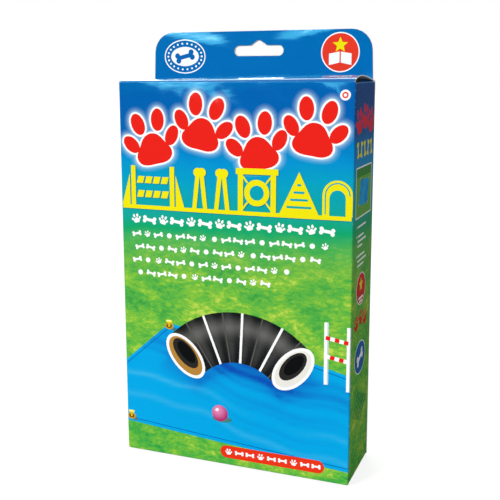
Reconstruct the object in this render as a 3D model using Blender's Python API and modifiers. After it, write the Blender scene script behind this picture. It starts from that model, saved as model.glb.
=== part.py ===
"""Pause mat for dog agility training, packed in its hang-tab carton.

The carton is one sheet of board, creased and glued, with a tuck closure at each end and a doubled
header that hangs on a hook. Inside stand the folded mat with its eyelets, four ground pegs and a
stapled training guide. Metres, +Z up, front at -Y, origin at the centre of the base.
"""

import math

import bmesh
import bpy
from mathutils import Matrix, Vector

# Board and the clearance between pieces that touch on the real carton
BOARD = 0.0005
GAP = 0.0003

# Folded mat: a 1.2 m by 0.9 m cloth in six plies, folded again in seven layers
MAT_WIDE = 0.132
MAT_TALL = 0.198
MAT_LAYERS = 7
PLY_STACK = 0.0029
LAYER_GAP = 0.00045
EYELET_RADIUS = 0.0085
EYELET_BORE = 0.0045
EYELET_THICK = 0.0008
EYELET_FROM_EDGE = 0.014

# Ground pegs
PEG_COUNT = 4
PEG_LONG = 0.155
PEG_ROOM = 0.0045
PEG_SHANK = 0.012
PEG_WEB = 0.0030
PEG_RIB = 0.0024
PEG_DEEP = 0.0100
PEG_POINT = 0.030
PEG_HEAD_WIDE = 0.027
PEG_HEAD_TALL = 0.006
PEG_NOTCH_DEEP = 0.0035
PEG_NOTCH_TALL = 0.005
PEG_NOTCH_BELOW_HEAD = 0.007

# Training guide
GUIDE_WIDE = 0.099
GUIDE_TALL = 0.205
COVER_THICK = 0.0003
PAGES_THICK = 0.0013
STAPLE_WIRE = 0.0005
STAPLE_CROWN = 0.012
STAPLE_LEG = 0.0022
STAPLE_CLINCH = 0.004
STAPLE_FROM_END = 0.045

# Closures at the top and at the bottom
LID_INSET = 0.0005
LID_RISE_LEFT = 0.0008
LID_RISE_RIGHT = 0.0030
TUCK_LONG = 0.014
TUCK_CORNER = 0.009
TUCK_LEAN = math.radians(15)
TUCK_ROOM = 0.0005
TUCK_SIDE_ROOM = 0.0035
DUST_LONG = 0.038
DUST_TAPER = math.radians(30)
DUST_FRONT_ROOM = 0.0020
DUST_REAR_ROOM = 0.0075
DUST_SHOULDER = 0.0045
DUST_CORNER = 0.004
GLUE_WIDE = 0.015
GLUE_END_ROOM = 0.020

# Room round the contents
SIDE_ROOM = 0.0055
HEADROOM = 0.0254
GUIDE_FRONT_ROOM = 0.0006
PACK_ROOM = 0.0044
MAT_BACK_ROOM = 0.0003

# Carton, outside sizes, made to fit what it holds
FLOOR = 2 * (BOARD + GAP)
PEG_PITCH = PEG_HEAD_WIDE + PEG_ROOM
PEG_ROW = (PEG_COUNT - 1) * PEG_PITCH + PEG_HEAD_WIDE
GUIDE_DEEP = PAGES_THICK + 2 * (GAP + COVER_THICK)
MAT_PITCH = PLY_STACK + LAYER_GAP
MAT_DEEP = (MAT_LAYERS - 1) * MAT_PITCH + PLY_STACK
TUCK_REACH = TUCK_LONG * math.sin(TUCK_LEAN) + BOARD * math.cos(TUCK_LEAN)
MAT_BEHIND = GAP + TUCK_ROOM + TUCK_REACH + MAT_BACK_ROOM
WIDTH = max(MAT_WIDE, GUIDE_WIDE, PEG_ROW) + 2 * (SIDE_ROOM + BOARD)
DEPTH = 2 * BOARD + GUIDE_FRONT_ROOM + GUIDE_DEEP + PACK_ROOM + PEG_DEEP + GAP + MAT_DEEP + MAT_BEHIND
HEIGHT = FLOOR + max(MAT_TALL, GUIDE_TALL, PEG_LONG) + HEADROOM
FRONT_BOW = 0.0018
BACK_BOW = 0.0018

# Header that stands above the back panel
HEADER_TALL = 0.0294
HEADER_INSET = 0.0012
HEADER_TAPER = 0.0010
HEADER_CORNER = 0.0125
HEADER_TUCKED = 0.010
SLOT_WIDE = 0.032
SLOT_TALL = 0.0064
SLOT_ABOVE_LID = 0.0176
SLOT_PEAK_WIDE = 0.0110
SLOT_PEAK_TALL = 0.0036
SLOT_PEAK_RADIUS = 0.0025
REAR_SLOT_MARGIN = 0.0006

ARC_STEPS = 6
FRONT_GRID = (14, 20)
BACK_GRID = (14, 22)
LID_GRID = (16, 8)


def clear_scene():
    for old in list(bpy.data.objects):
        bpy.data.objects.remove(old)


def new_collection(name):
    collection = bpy.data.collections.new(name)
    bpy.context.scene.collection.children.link(collection)
    return collection


def new_material(name, colour, roughness, metallic=0.0):
    made = bpy.data.materials.new(name)
    made.use_nodes = True
    shader = made.node_tree.nodes["Principled BSDF"]
    shader.inputs["Base Color"].default_value = (*colour, 1.0)
    shader.inputs["Roughness"].default_value = roughness
    shader.inputs["Metallic"].default_value = metallic
    return made


def new_empty(name, parent, matrix):
    """An empty frame on a crease or at a piece's place; its pieces are parented to it."""
    empty = bpy.data.objects.new(name, None)
    parts.objects.link(empty)
    empty.parent = parent
    empty.matrix_local = matrix
    return empty


def place(obj, parent, matrix, material, collection=None):
    (collection or parts).objects.link(obj)
    obj.parent = parent
    obj.matrix_local = matrix
    if material:
        obj.data.materials.append(material)
    return obj


def turn(axis, degrees):
    return Matrix.Rotation(math.radians(degrees), 4, axis)


def move(x=0.0, y=0.0, z=0.0):
    return Matrix.Translation((x, y, z))


def rounded(corners):
    """The outline through corners, each (x, y, radius), with an arc at each corner that has a radius."""
    outline = []
    for i, (x, y, radius) in enumerate(corners):
        here = Vector((x, y))
        before = (Vector(corners[i - 1][:2]) - here).normalized()
        after = (Vector(corners[(i + 1) % len(corners)][:2]) - here).normalized()
        if radius <= 0:
            outline.append(here)
            continue
        half = before.angle(after) / 2
        centre = here + (before + after).normalized() * radius / math.sin(half)
        first = here + before * radius / math.tan(half) - centre
        sweep = (math.pi - 2 * half) * (1 if before.cross(after) < 0 else -1)
        for step in range(ARC_STEPS + 1):
            outline.append(centre + Matrix.Rotation(sweep * step / ARC_STEPS, 2) @ first)
    return outline


def circle(radius, count, centre=(0.0, 0.0)):
    return [
        Vector((centre[0] + radius * math.cos(a), centre[1] + radius * math.sin(a)))
        for a in (2 * math.pi * i / count for i in range(count))
    ]


def outline_curve(name, outlines, thickness):
    """A 2D curve filled between its outlines and extruded evenly about its own plane."""
    curve = bpy.data.curves.new(name, "CURVE")
    curve.dimensions = "2D"
    curve.fill_mode = "BOTH"
    curve.extrude = thickness / 2
    for outline in outlines:
        spline = curve.splines.new("POLY")
        spline.points.add(len(outline) - 1)
        for point, corner in zip(spline.points, outline):
            point.co = (corner.x, corner.y, 0.0, 1.0)
        spline.use_cyclic_u = True
    return bpy.data.objects.new(name, curve)


def mesh_from(obj, name):
    """The object as a welded mesh in its own frame, for a piece that is cut, joined or shared."""
    bpy.context.view_layer.update()
    evaluated = obj.evaluated_get(bpy.context.evaluated_depsgraph_get())
    mesh = bpy.data.meshes.new_from_object(evaluated)
    mesh.name = name
    body = bmesh.new()
    body.from_mesh(mesh)
    bmesh.ops.remove_doubles(body, verts=body.verts, dist=1e-6)
    bmesh.ops.recalc_face_normals(body, faces=body.faces)
    body.to_mesh(mesh)
    body.free()
    return mesh


def made_mesh(obj, parent, matrix, material, collection=None):
    """Turns a curve object into a mesh object of the same name, and places it."""
    (collection or parts).objects.link(obj)
    name = obj.name
    mesh = mesh_from(obj, name)
    bpy.data.objects.remove(obj)
    return place(bpy.data.objects.new(name, mesh), parent, matrix, material, collection)


def hide_cutter(cutter):
    cutter.hide_render = True
    cutter.display_type = "WIRE"
    return cutter


def boolean(obj, cutter, operation):
    modifier = obj.modifiers.new(operation.lower() + "_" + cutter.name, "BOOLEAN")
    modifier.object = cutter
    modifier.operation = operation


def sheet(name, x_range, y_range, grid, rise):
    """A gridded board with its outer face at z = rise(x, y), and its thickness below that."""
    bpy.ops.mesh.primitive_grid_add(x_subdivisions=grid[0], y_subdivisions=grid[1], size=1)
    obj = bpy.context.object
    obj.name = obj.data.name = name
    for vertex in obj.data.vertices:
        x = x_range[0] + (vertex.co.x + 0.5) * (x_range[1] - x_range[0])
        y = y_range[0] + (vertex.co.y + 0.5) * (y_range[1] - y_range[0])
        vertex.co = (x, y, rise(x, y))
    for owner in obj.users_collection:
        owner.objects.unlink(obj)
    solidify = obj.modifiers.new("board", "SOLIDIFY")
    solidify.thickness = BOARD
    solidify.offset = -1
    obj.data.shade_smooth()
    obj.data.set_sharp_from_angle(angle=math.radians(40))
    return obj


def bowed(bow, ends=1):
    """The rise of a large panel that the contents push outwards between its creases.

    With ends at 2 it leaves its top and bottom without a kink, as a panel does that carries on
    past the lid as the header.
    """
    return lambda x, y: (
        bow * math.cos(math.pi * x / WIDTH) * math.sin(math.pi * min(y, HEIGHT) / HEIGHT) ** ends
    )


def header_outline():
    """Corners of the back panel with its header, from the base up, in the panel's own plane."""
    half = WIDTH / 2
    header = half - HEADER_INSET
    top = HEIGHT + HEADER_TALL
    return [
        (-half, 0.0, 0.0),
        (half, 0.0, 0.0),
        (half, HEIGHT, 0.0),
        (header, HEIGHT, 0.0),
        (header - HEADER_TAPER, top, HEADER_CORNER),
        (HEADER_TAPER - header, top, HEADER_CORNER),
        (-header, HEIGHT, 0.0),
        (-half, HEIGHT, 0.0),
    ]


def hang_slot(margin=0.0):
    """The hang slot: a long slot with round ends and a peak that centres the hook."""
    middle = HEIGHT + SLOT_ABOVE_LID
    half = SLOT_WIDE / 2 + margin
    low = middle - SLOT_TALL / 2 - margin
    high = middle + SLOT_TALL / 2 + margin
    end = (high - low) / 2 - 1e-5
    foot = SLOT_PEAK_WIDE / 2 + margin
    return rounded([
        (-half, low, end),
        (half, low, end),
        (half, high, end),
        (foot, high, 0.001),
        (0.0, high + SLOT_PEAK_TALL, SLOT_PEAK_RADIUS),
        (-foot, high, 0.001),
        (-half, high, end),
    ])


def build_walls(carton):
    """Front, back and side panels, the glued seam and the second ply of the header."""
    front = sheet("front_panel", (-WIDTH / 2, WIDTH / 2), (0.0, HEIGHT), FRONT_GRID, bowed(FRONT_BOW))
    place(front, carton, move(y=-DEPTH / 2) @ turn("X", 90), printed)

    back_tall = HEIGHT + HEADER_TALL
    back = sheet("back_panel", (-WIDTH / 2, WIDTH / 2), (0.0, back_tall), BACK_GRID, bowed(BACK_BOW, 2))
    back_frame = move(y=DEPTH / 2) @ turn("Z", 180) @ turn("X", 90)
    place(back, carton, back_frame, printed)
    trim_deep = 2 * (BACK_BOW + BOARD) + GAP
    trim = outline_curve("back_trim", [rounded(header_outline()), hang_slot(-REAR_SLOT_MARGIN)], trim_deep)
    trim = made_mesh(trim, carton, back_frame, None, cutters)
    boolean(back, hide_cutter(trim), "INTERSECT")

    inner = DEPTH / 2 - BOARD - GAP
    side_low = BOARD + GAP
    side_high = HEIGHT - BOARD - GAP
    side = rounded([(-inner, side_low, 0), (inner, side_low, 0), (inner, side_high, 0), (-inner, side_high, 0)])
    for name, x, angle in (("right_side_panel", WIDTH / 2, 90), ("left_side_panel", -WIDTH / 2, -90)):
        frame = move(x=x) @ turn("Z", angle) @ turn("X", 90) @ move(z=-BOARD / 2)
        place(outline_curve(name, [side], BOARD), carton, frame, printed)

    glue_x = WIDTH / 2 - BOARD - GAP
    glue = rounded([
        (glue_x, GLUE_END_ROOM, 0.0),
        (glue_x, HEIGHT - GLUE_END_ROOM, 0.0),
        (glue_x - GLUE_WIDE, HEIGHT - GLUE_END_ROOM - GLUE_WIDE / 3, 0.0),
        (glue_x - GLUE_WIDE, GLUE_END_ROOM + GLUE_WIDE / 3, 0.0),
    ])
    glue_frame = back_frame @ move(z=-BOARD - GAP - BOARD / 2)
    place(outline_curve("glued_seam_flap", [glue], BOARD), carton, glue_frame, raw)

    header = WIDTH / 2 - HEADER_INSET
    ply = rounded([
        (-header, HEIGHT - HEADER_TUCKED, 0.002),
        (header, HEIGHT - HEADER_TUCKED, 0.002),
        (header, HEIGHT, 0.0),
        (header - HEADER_TAPER, HEIGHT + HEADER_TALL, HEADER_CORNER),
        (HEADER_TAPER - header, HEIGHT + HEADER_TALL, HEADER_CORNER),
        (-header, HEIGHT, 0.0),
    ])
    ply_name = "header_front_ply"
    place(outline_curve(ply_name, [ply, hang_slot()], BOARD), carton, glue_frame, printed)


def tuck_outline():
    """The tongue that slides in behind the closed lid, in a frame with its crease at y = 0."""
    half = WIDTH / 2 - DUST_SHOULDER - TUCK_SIDE_ROOM
    start = BOARD * (1 + math.tan(TUCK_LEAN)) + GAP
    return rounded([
        (half, start, 0.0),
        (half, TUCK_LONG, TUCK_CORNER),
        (-half, TUCK_LONG, TUCK_CORNER),
        (-half, start, 0.0),
    ])


def dust_outline(front):
    """A dust flap, in a frame with its crease along x at y = 0. The panel's front lies at front * x."""
    rear_limit = DEPTH - BOARD - 2 * GAP
    near = BOARD + GAP
    tip_front = DUST_FRONT_ROOM + (DUST_LONG - near) * math.tan(DUST_TAPER)
    corners = [
        (DUST_FRONT_ROOM, near, 0.0),
        (rear_limit - TUCK_ROOM - BOARD, near, 0.0),
        (rear_limit - TUCK_ROOM - BOARD, DUST_SHOULDER, 0.0),
        (DEPTH - DUST_REAR_ROOM, DUST_SHOULDER, 0.0),
        (DEPTH - DUST_REAR_ROOM, DUST_LONG, DUST_CORNER),
        (tip_front, DUST_LONG, DUST_CORNER),
    ]
    corners = [((depth - DEPTH / 2) * -front, y, r) for depth, y, r in corners]
    return rounded(corners if front < 0 else corners[::-1])


def build_closure(end, carton, frame, rear_room, rises, sides):
    """One end of the carton: a lid creased to the front panel, its tuck flap and two dust flaps.

    In this frame the lid's crease is the line y = z = 0, y runs to the back panel and z out of the
    carton. rear_room is what lies between the tuck flap and the back panel's outer face.
    """
    lid_axis = new_empty(f"{end}_lid_crease", carton, frame)
    lid_deep = DEPTH - rear_room - TUCK_ROOM
    near = BOARD + GAP
    half = WIDTH / 2 - LID_INSET

    def rise(x, y):
        across = rises[0] + (rises[1] - rises[0]) * (x + half) / (2 * half)
        return across * math.sin(math.pi * (y - near) / (lid_deep - near))

    if max(rises) > 0:
        lid = sheet(f"{end}_lid", (-half, half), (near, lid_deep), LID_GRID, rise)
        place(lid, lid_axis, Matrix.Identity(4), printed)
    else:
        flat = rounded([(-half, near, 0.0), (half, near, 0.0), (half, lid_deep, 0.0), (-half, lid_deep, 0.0)])
        place(outline_curve(f"{end}_lid", [flat], BOARD), lid_axis, move(z=-BOARD / 2), printed)

    fold = -90 - math.degrees(TUCK_LEAN)
    tuck_axis = new_empty(f"{end}_tuck_crease", lid_axis, move(y=lid_deep) @ turn("X", fold))
    tuck = outline_curve(f"{end}_tuck_flap", [tuck_outline()], BOARD)
    place(tuck, tuck_axis, move(z=-BOARD / 2), printed)

    for side, x in zip(sides, (WIDTH / 2, -WIDTH / 2)):
        facing = 1 if x > 0 else -1
        crease = frame @ move(x=x, y=DEPTH / 2, z=-near) @ turn("Z", 90 * facing)
        dust_axis = new_empty(f"{end}_dust_crease_{side}", carton, crease)
        dust = outline_curve(f"{end}_dust_flap_{side}", [dust_outline(-facing)], BOARD)
        place(dust, dust_axis, move(z=-BOARD / 2), printed)


def serpentine(layers, pitch, reach):
    """Points of a folded line with the normal at each: straight layers joined by half circles."""
    line = []
    for layer in range(layers):
        way = 1 if layer % 2 == 0 else -1
        y = layer * pitch
        line.append((Vector((-way * reach, y)), Vector((0, way))))
        line.append((Vector((way * reach, y)), Vector((0, way))))
        if layer == layers - 1:
            break
        centre = Vector((way * reach, y + pitch / 2))
        for step in range(1, ARC_STEPS):
            angle = -math.pi / 2 + math.pi * step / ARC_STEPS
            spoke = Vector((way * math.cos(angle), math.sin(angle)))
            line.append((centre + spoke * pitch / 2, -spoke * way))
    return line


def build_mat(carton):
    """The folded mat, and an eyelet in each of the four corners of the cloth."""
    reach = MAT_WIDE / 2 - (MAT_PITCH + PLY_STACK) / 2
    line = serpentine(MAT_LAYERS, MAT_PITCH, reach)
    outline = [p + n * PLY_STACK / 2 for p, n in line]
    outline += [p - n * PLY_STACK / 2 for p, n in reversed(line)]
    mat_front = DEPTH / 2 - BOARD - MAT_BEHIND - MAT_DEEP
    frame = move(y=mat_front + PLY_STACK / 2, z=FLOOR + MAT_TALL / 2)
    mat = made_mesh(outline_curve("folded_mat", [outline], MAT_TALL), carton, frame, cloth)

    ring = [circle(EYELET_RADIUS, 24), circle(EYELET_BORE, 24)]
    ring_mesh = mesh_in_cutters("eyelet_ring", ring, EYELET_THICK)
    recess_deep = EYELET_THICK + GAP
    recess_mesh = mesh_in_cutters("eyelet_recess", [circle(EYELET_RADIUS + GAP, 24)], 2 * recess_deep)
    z = MAT_TALL / 2 - EYELET_FROM_EDGE
    ends = ((0, -reach + EYELET_FROM_EDGE), (MAT_LAYERS - 1, reach - EYELET_FROM_EDGE))
    for layer, x in ends:
        for face in (-1, 1):
            y = layer * MAT_PITCH + face * PLY_STACK / 2
            name = f"eyelet_{'front' if layer == 0 else 'back'}_{'outer' if (face < 0) == (layer == 0) else 'inner'}"
            upright = frame @ move(x=x, y=y, z=z) @ turn("X", 90)
            recess = bpy.data.objects.new(name + "_recess", recess_mesh)
            place(recess, carton, upright, None, cutters)
            boolean(mat, hide_cutter(recess), "DIFFERENCE")
            seat = frame @ move(x=x, y=y - face * EYELET_THICK / 2, z=z) @ turn("X", 90)
            place(bpy.data.objects.new(name, ring_mesh), carton, seat, None)
    ring_mesh.materials.append(brass)
    return mat_front


def mesh_in_cutters(name, outlines, thickness):
    """A shared mesh from flat outlines, made without leaving an object behind."""
    source = outline_curve(name, outlines, thickness)
    cutters.objects.link(source)
    mesh = mesh_from(source, name)
    bpy.data.objects.remove(source)
    return mesh


def peg_profile():
    """The peg seen from its broad side, point down at y = 0, with a notch for the mat's eyelet."""
    half = PEG_SHANK / 2
    neck = PEG_LONG - PEG_HEAD_TALL / 2
    notch_top = PEG_LONG - PEG_HEAD_TALL - PEG_NOTCH_BELOW_HEAD
    notch_low = notch_top - PEG_NOTCH_TALL
    tip = PEG_WEB / 2
    return rounded([
        (-tip, 0.0, tip / 2),
        (tip, 0.0, tip / 2),
        (half, PEG_POINT, 0.0),
        (half, notch_low, 0.0),
        (half - PEG_NOTCH_DEEP, notch_low + PEG_NOTCH_TALL / 3, 0.0005),
        (half - PEG_NOTCH_DEEP, notch_top, 0.0005),
        (half, notch_top, 0.0),
        (half, neck, 0.0),
        (-half, neck, 0.0),
        (-half, PEG_POINT, 0.0),
    ])


def rib_profile():
    """The peg's cross rib seen from its narrow side."""
    half = PEG_DEEP / 2
    neck = PEG_LONG - PEG_HEAD_TALL / 2
    start = PEG_POINT / 3
    return rounded([
        (-PEG_WEB / 4, start, 0.0),
        (PEG_WEB / 4, start, 0.0),
        (half, PEG_POINT * 1.5, 0.0),
        (half, neck, 0.0),
        (-half, neck, 0.0),
        (-half, PEG_POINT * 1.5, 0.0),
    ])


def peg_mesh():
    """Web, cross rib and striking head joined in one moulding, with its length along z."""
    stand = turn("X", 90)
    web = made_mesh(outline_curve("peg_web", [peg_profile()], PEG_WEB), None, stand, None, cutters)
    rib = outline_curve("peg_rib", [rib_profile()], PEG_RIB)
    rib = made_mesh(rib, None, turn("Z", 90) @ stand, None, cutters)
    head_outline = rounded([
        (sx * PEG_HEAD_WIDE / 2, sy * PEG_DEEP / 2, PEG_DEEP / 4)
        for sx, sy in ((-1, -1), (1, -1), (1, 1), (-1, 1))
    ])
    head_place = move(z=PEG_LONG - PEG_HEAD_TALL / 2)
    head = outline_curve("peg_head", [head_outline], PEG_HEAD_TALL)
    head = made_mesh(head, None, head_place, None, cutters)
    for other in (rib, head):
        boolean(web, hide_cutter(other), "UNION")
    mesh = mesh_from(hide_cutter(web), "ground_peg")
    mesh.transform(web.matrix_world)
    for used in (web, rib, head):
        bpy.data.objects.remove(used)
    return mesh


def build_pegs(carton, behind):
    mesh = peg_mesh()
    mesh.materials.append(plastic)
    y = behind - GAP - PEG_DEEP / 2
    for i in range(PEG_COUNT):
        x = (i - (PEG_COUNT - 1) / 2) * PEG_PITCH
        peg = bpy.data.objects.new(f"ground_peg_{i + 1}", mesh)
        place(peg, carton, move(x=x, y=y, z=FLOOR), None)


def staple_path(height):
    """A closed staple round the guide's spine: crown outside, legs through it and clinched inside."""
    crown = -STAPLE_WIRE / 2 - GAP
    leg = crown + STAPLE_WIRE / 2 + STAPLE_LEG
    half = STAPLE_CROWN / 2
    return [
        (leg, height - half + STAPLE_CLINCH),
        (leg, height - half),
        (crown, height - half),
        (crown, height + half),
        (leg, height + half),
        (leg, height + half - STAPLE_CLINCH),
    ]


def wire(name, path, radius, x, y):
    curve = bpy.data.curves.new(name, "CURVE")
    curve.dimensions = "3D"
    curve.bevel_depth = radius
    curve.bevel_resolution = 1
    curve.use_fill_caps = True
    spline = curve.splines.new("POLY")
    spline.points.add(len(path) - 1)
    for point, (across, up) in zip(spline.points, path):
        point.co = (x + across, y, up, 1.0)
    return bpy.data.objects.new(name, curve)


def build_guide(carton):
    """The training guide: a folded cover, its pages, and two staples through the spine."""
    inner = PAGES_THICK + 2 * GAP
    left = -GUIDE_WIDE / 2
    front = -DEPTH / 2 + BOARD + GUIDE_FRONT_ROOM
    cover_corners = [
        (left, 0.0, GUIDE_DEEP / 3),
        (left + GUIDE_WIDE, 0.0, 0.0),
        (left + GUIDE_WIDE, COVER_THICK, 0.0),
        (left + COVER_THICK, COVER_THICK, inner / 3),
        (left + COVER_THICK, COVER_THICK + inner, inner / 3),
        (left + GUIDE_WIDE, COVER_THICK + inner, 0.0),
        (left + GUIDE_WIDE, GUIDE_DEEP, 0.0),
        (left, GUIDE_DEEP, GUIDE_DEEP / 3),
    ]
    middle = FLOOR + GUIDE_TALL / 2
    cover = outline_curve("guide_cover", [rounded(cover_corners)], GUIDE_TALL)
    cover = made_mesh(cover, carton, move(y=front, z=middle), paper)
    page_left = left + COVER_THICK + GAP
    page_front = COVER_THICK + GAP
    page_corners = [
        (page_left, page_front, PAGES_THICK / 3),
        (left + GUIDE_WIDE - GAP, page_front, 0.0),
        (left + GUIDE_WIDE - GAP, page_front + PAGES_THICK, 0.0),
        (page_left, page_front + PAGES_THICK, PAGES_THICK / 3),
    ]
    pages = outline_curve("guide_pages", [rounded(page_corners)], GUIDE_TALL - 2 * GAP)
    pages = made_mesh(pages, carton, move(y=front, z=middle), paper)
    wire_y = front + GUIDE_DEEP / 2
    for name, height in (("upper", GUIDE_TALL - STAPLE_FROM_END), ("lower", STAPLE_FROM_END)):
        path = staple_path(FLOOR + height)
        staple = wire(f"guide_staple_{name}", path, STAPLE_WIRE / 2, left, wire_y)
        place(staple, carton, Matrix.Identity(4), steel)
        clear = wire(f"staple_room_{name}", path, STAPLE_WIRE / 2 + GAP, left, wire_y)
        clear = made_mesh(clear, carton, Matrix.Identity(4), None, cutters)
        for cut in (cover, pages):
            boolean(cut, hide_cutter(clear), "DIFFERENCE")


clear_scene()
parts = new_collection("pause_mat_in_carton")
cutters = new_collection("cutters")
printed = new_material("printed_board", (0.02, 0.20, 0.55), 0.3)
raw = new_material("raw_board", (0.62, 0.60, 0.55), 0.8)
cloth = new_material("mat_cloth", (0.02, 0.30, 0.72), 0.6)
brass = new_material("eyelet_brass", (0.78, 0.57, 0.25), 0.3, 1.0)
plastic = new_material("peg_plastic", (0.90, 0.62, 0.02), 0.35)
paper = new_material("guide_paper", (0.85, 0.86, 0.86), 0.5)
steel = new_material("staple_steel", (0.60, 0.60, 0.62), 0.3, 1.0)

root = new_empty("carton", None, Matrix.Identity(4))
build_walls(root)
top_frame = move(y=-DEPTH / 2, z=HEIGHT)
bottom_frame = move(y=-DEPTH / 2) @ turn("Y", 180)
header_plies = 2 * BOARD + GAP
build_closure("top", root, top_frame, header_plies + GAP, (LID_RISE_LEFT, LID_RISE_RIGHT), ("right", "left"))
build_closure("bottom", root, bottom_frame, BOARD + GAP, (0.0, 0.0), ("left", "right"))
build_pegs(root, build_mat(root))
build_guide(root)
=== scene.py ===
import math

import bpy
import numpy as np
from mathutils import Matrix, Vector, geometry


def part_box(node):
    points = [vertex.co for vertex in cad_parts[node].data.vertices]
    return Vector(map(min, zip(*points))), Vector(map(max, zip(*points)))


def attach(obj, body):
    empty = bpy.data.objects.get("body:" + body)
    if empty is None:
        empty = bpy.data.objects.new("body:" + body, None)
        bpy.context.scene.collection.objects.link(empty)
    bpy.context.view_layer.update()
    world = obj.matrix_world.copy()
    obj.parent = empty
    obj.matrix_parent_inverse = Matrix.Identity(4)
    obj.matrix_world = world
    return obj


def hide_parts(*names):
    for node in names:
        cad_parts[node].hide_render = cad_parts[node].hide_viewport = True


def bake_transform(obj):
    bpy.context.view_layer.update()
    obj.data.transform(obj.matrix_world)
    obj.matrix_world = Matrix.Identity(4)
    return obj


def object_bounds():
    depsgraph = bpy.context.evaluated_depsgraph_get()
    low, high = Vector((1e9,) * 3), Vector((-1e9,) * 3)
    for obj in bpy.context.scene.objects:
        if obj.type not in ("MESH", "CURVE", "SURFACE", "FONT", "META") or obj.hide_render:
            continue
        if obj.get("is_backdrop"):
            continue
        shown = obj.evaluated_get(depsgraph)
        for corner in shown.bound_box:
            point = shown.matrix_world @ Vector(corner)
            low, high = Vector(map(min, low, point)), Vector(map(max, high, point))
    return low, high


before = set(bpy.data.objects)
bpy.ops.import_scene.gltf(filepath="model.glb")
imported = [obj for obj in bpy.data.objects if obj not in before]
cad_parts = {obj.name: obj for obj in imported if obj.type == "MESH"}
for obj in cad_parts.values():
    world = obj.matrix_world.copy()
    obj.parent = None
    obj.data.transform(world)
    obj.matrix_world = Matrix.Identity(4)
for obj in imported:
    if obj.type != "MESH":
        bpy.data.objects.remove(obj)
cad_box = [list(corner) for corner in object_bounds()]

# Carton sleeve: front, back and both sides, the rear ply of the header and the glued seam flap.
# One sheet of white folding boxboard half a millimetre thick, offset printed, varnished, die cut,
# creased and glued behind its right rear corner. Its flat plan is drawn here in millimetres.
MM = 0.001
BOARD = 0.5
GAP = 0.3
side_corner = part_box("right_side_panel")[1]
HALF_W = side_corner.x / MM
HALF_D = side_corner.y / MM + BOARD + GAP
TALL = side_corner.z / MM + BOARD + GAP
CREASE_RADIUS = 0.8
FRONT_BOW = 1.8
BACK_BOW = 1.8
HEADER_TALL = 29.4
HEADER_INSET = 1.2
HEADER_TAPER = 1.0
HEADER_CORNER = 12.5
SLOT_WIDE, SLOT_TALL, SLOT_PEAK_WIDE, SLOT_PEAK_TALL = 32.0, 6.4, 11.0, 3.6
SLOT_MIDDLE = TALL + 17.6
REAR_SLOT_MARGIN = 0.6
GLUE_WIDE = 15.8
GLUE_LOW = 20.0
GLUE_TAPER = 5.0
POINT_STEP = 6.0
CREASE_STRIPS = 6
SAMPLE = 0.05


def linear(hex_colour, cover=1.0):
    """An sRGB hex value as linear red, green and blue, with how far it covers what is under it."""
    parts = [int(hex_colour[i : i + 2], 16) / 255 for i in (1, 3, 5)]
    return (*(p / 12.92 if p <= 0.04045 else ((p + 0.055) / 1.055) ** 2.4 for p in parts), cover)


# The kinds of node that are used most.
MATH, RANGE, MIX = "ShaderNodeMath", "ShaderNodeMapRange", "ShaderNodeMix"
NOISE, BUMP = "ShaderNodeTexNoise", "ShaderNodeBump"


def feed(tree, made, inputs):
    """Fills a node's inputs, given in order or by name: an output is linked, anything else is set."""
    for key, value in inputs.items() if isinstance(inputs, dict) else enumerate(inputs):
        if isinstance(value, bpy.types.NodeSocket):
            tree.links.new(value, made.inputs[key])
        else:
            made.inputs[key].default_value = value


def node(tree, kind, inputs=(), out=0, **settings):
    """Adds a node with its settings and inputs, and gives one of its outputs, or the node for None."""
    made = tree.nodes.new(kind)
    for name, value in settings.items():
        setattr(made, name, value)
    feed(tree, made, inputs)
    return made if out is None else made.outputs[out]


def in_scene(name, data):
    made = bpy.data.objects.new(name, data)
    bpy.context.scene.collection.objects.link(made)
    return made


def ellipse(x, y, rx, ry=None, turn=0.0, count=24):
    """An ellipse, or a circle when only one radius is given."""
    ry = rx if ry is None else ry
    c, s = math.cos(math.radians(turn)), math.sin(math.radians(turn))
    ring = [(rx * math.cos(a), ry * math.sin(a)) for a in np.linspace(0, 2 * math.pi, count, endpoint=False)]
    return [(x + c * p - s * q, y + s * p + c * q) for p, q in ring]


def rounded(corners, steps=6):
    """A closed outline through corners (x, y, radius), with an arc at each corner that has a radius."""
    outline = []
    for i, (x, y, radius) in enumerate(corners):
        here = Vector((x, y))
        if radius <= 0:
            outline.append((x, y))
            continue
        before = (Vector(corners[i - 1][:2]) - here).normalized()
        after = (Vector(corners[(i + 1) % len(corners)][:2]) - here).normalized()
        half = before.angle(after) / 2
        centre = here + (before + after).normalized() * radius / math.sin(half)
        first = here + before * radius / math.tan(half) - centre
        sweep = (math.pi - 2 * half) * (1 if before.cross(after) < 0 else -1)
        for step in range(steps + 1):
            outline.append(tuple(centre + Matrix.Rotation(sweep * step / steps, 2) @ first))
    return outline


def hang_slot(margin=0.0):
    """The hang slot: a long slot with round ends and a peak that centres the hook."""
    half, foot = SLOT_WIDE / 2 + margin, SLOT_PEAK_WIDE / 2 + margin
    low, high = SLOT_MIDDLE - SLOT_TALL / 2 - margin, SLOT_MIDDLE + SLOT_TALL / 2 + margin
    end = (high - low) / 2 - 0.01
    return rounded([
        (-half, low, end), (half, low, end), (half, high, end), (foot, high, 1.0),
        (0.0, high + SLOT_PEAK_TALL, 2.5), (-foot, high, 1.0), (-half, high, end),
    ])


def turned(outline):
    """The outline run anticlockwise, as the triangulation wants it."""
    area = sum(a[0] * b[1] - b[0] * a[1] for a, b in zip(outline, outline[1:] + outline[:1]))
    return outline if area > 0 else outline[::-1]


def finely(contour, longest=4.0):
    """The contour with its long sides divided, so that it can follow a bowed panel."""
    divided = []
    for here, after in zip(contour, contour[1:] + contour[:1]):
        parts = max(math.ceil(math.dist(here, after) / longest), 1)
        divided += [tuple(a + (b - a) * k / parts for a, b in zip(here, after)) for k in range(parts)]
    return divided


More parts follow.
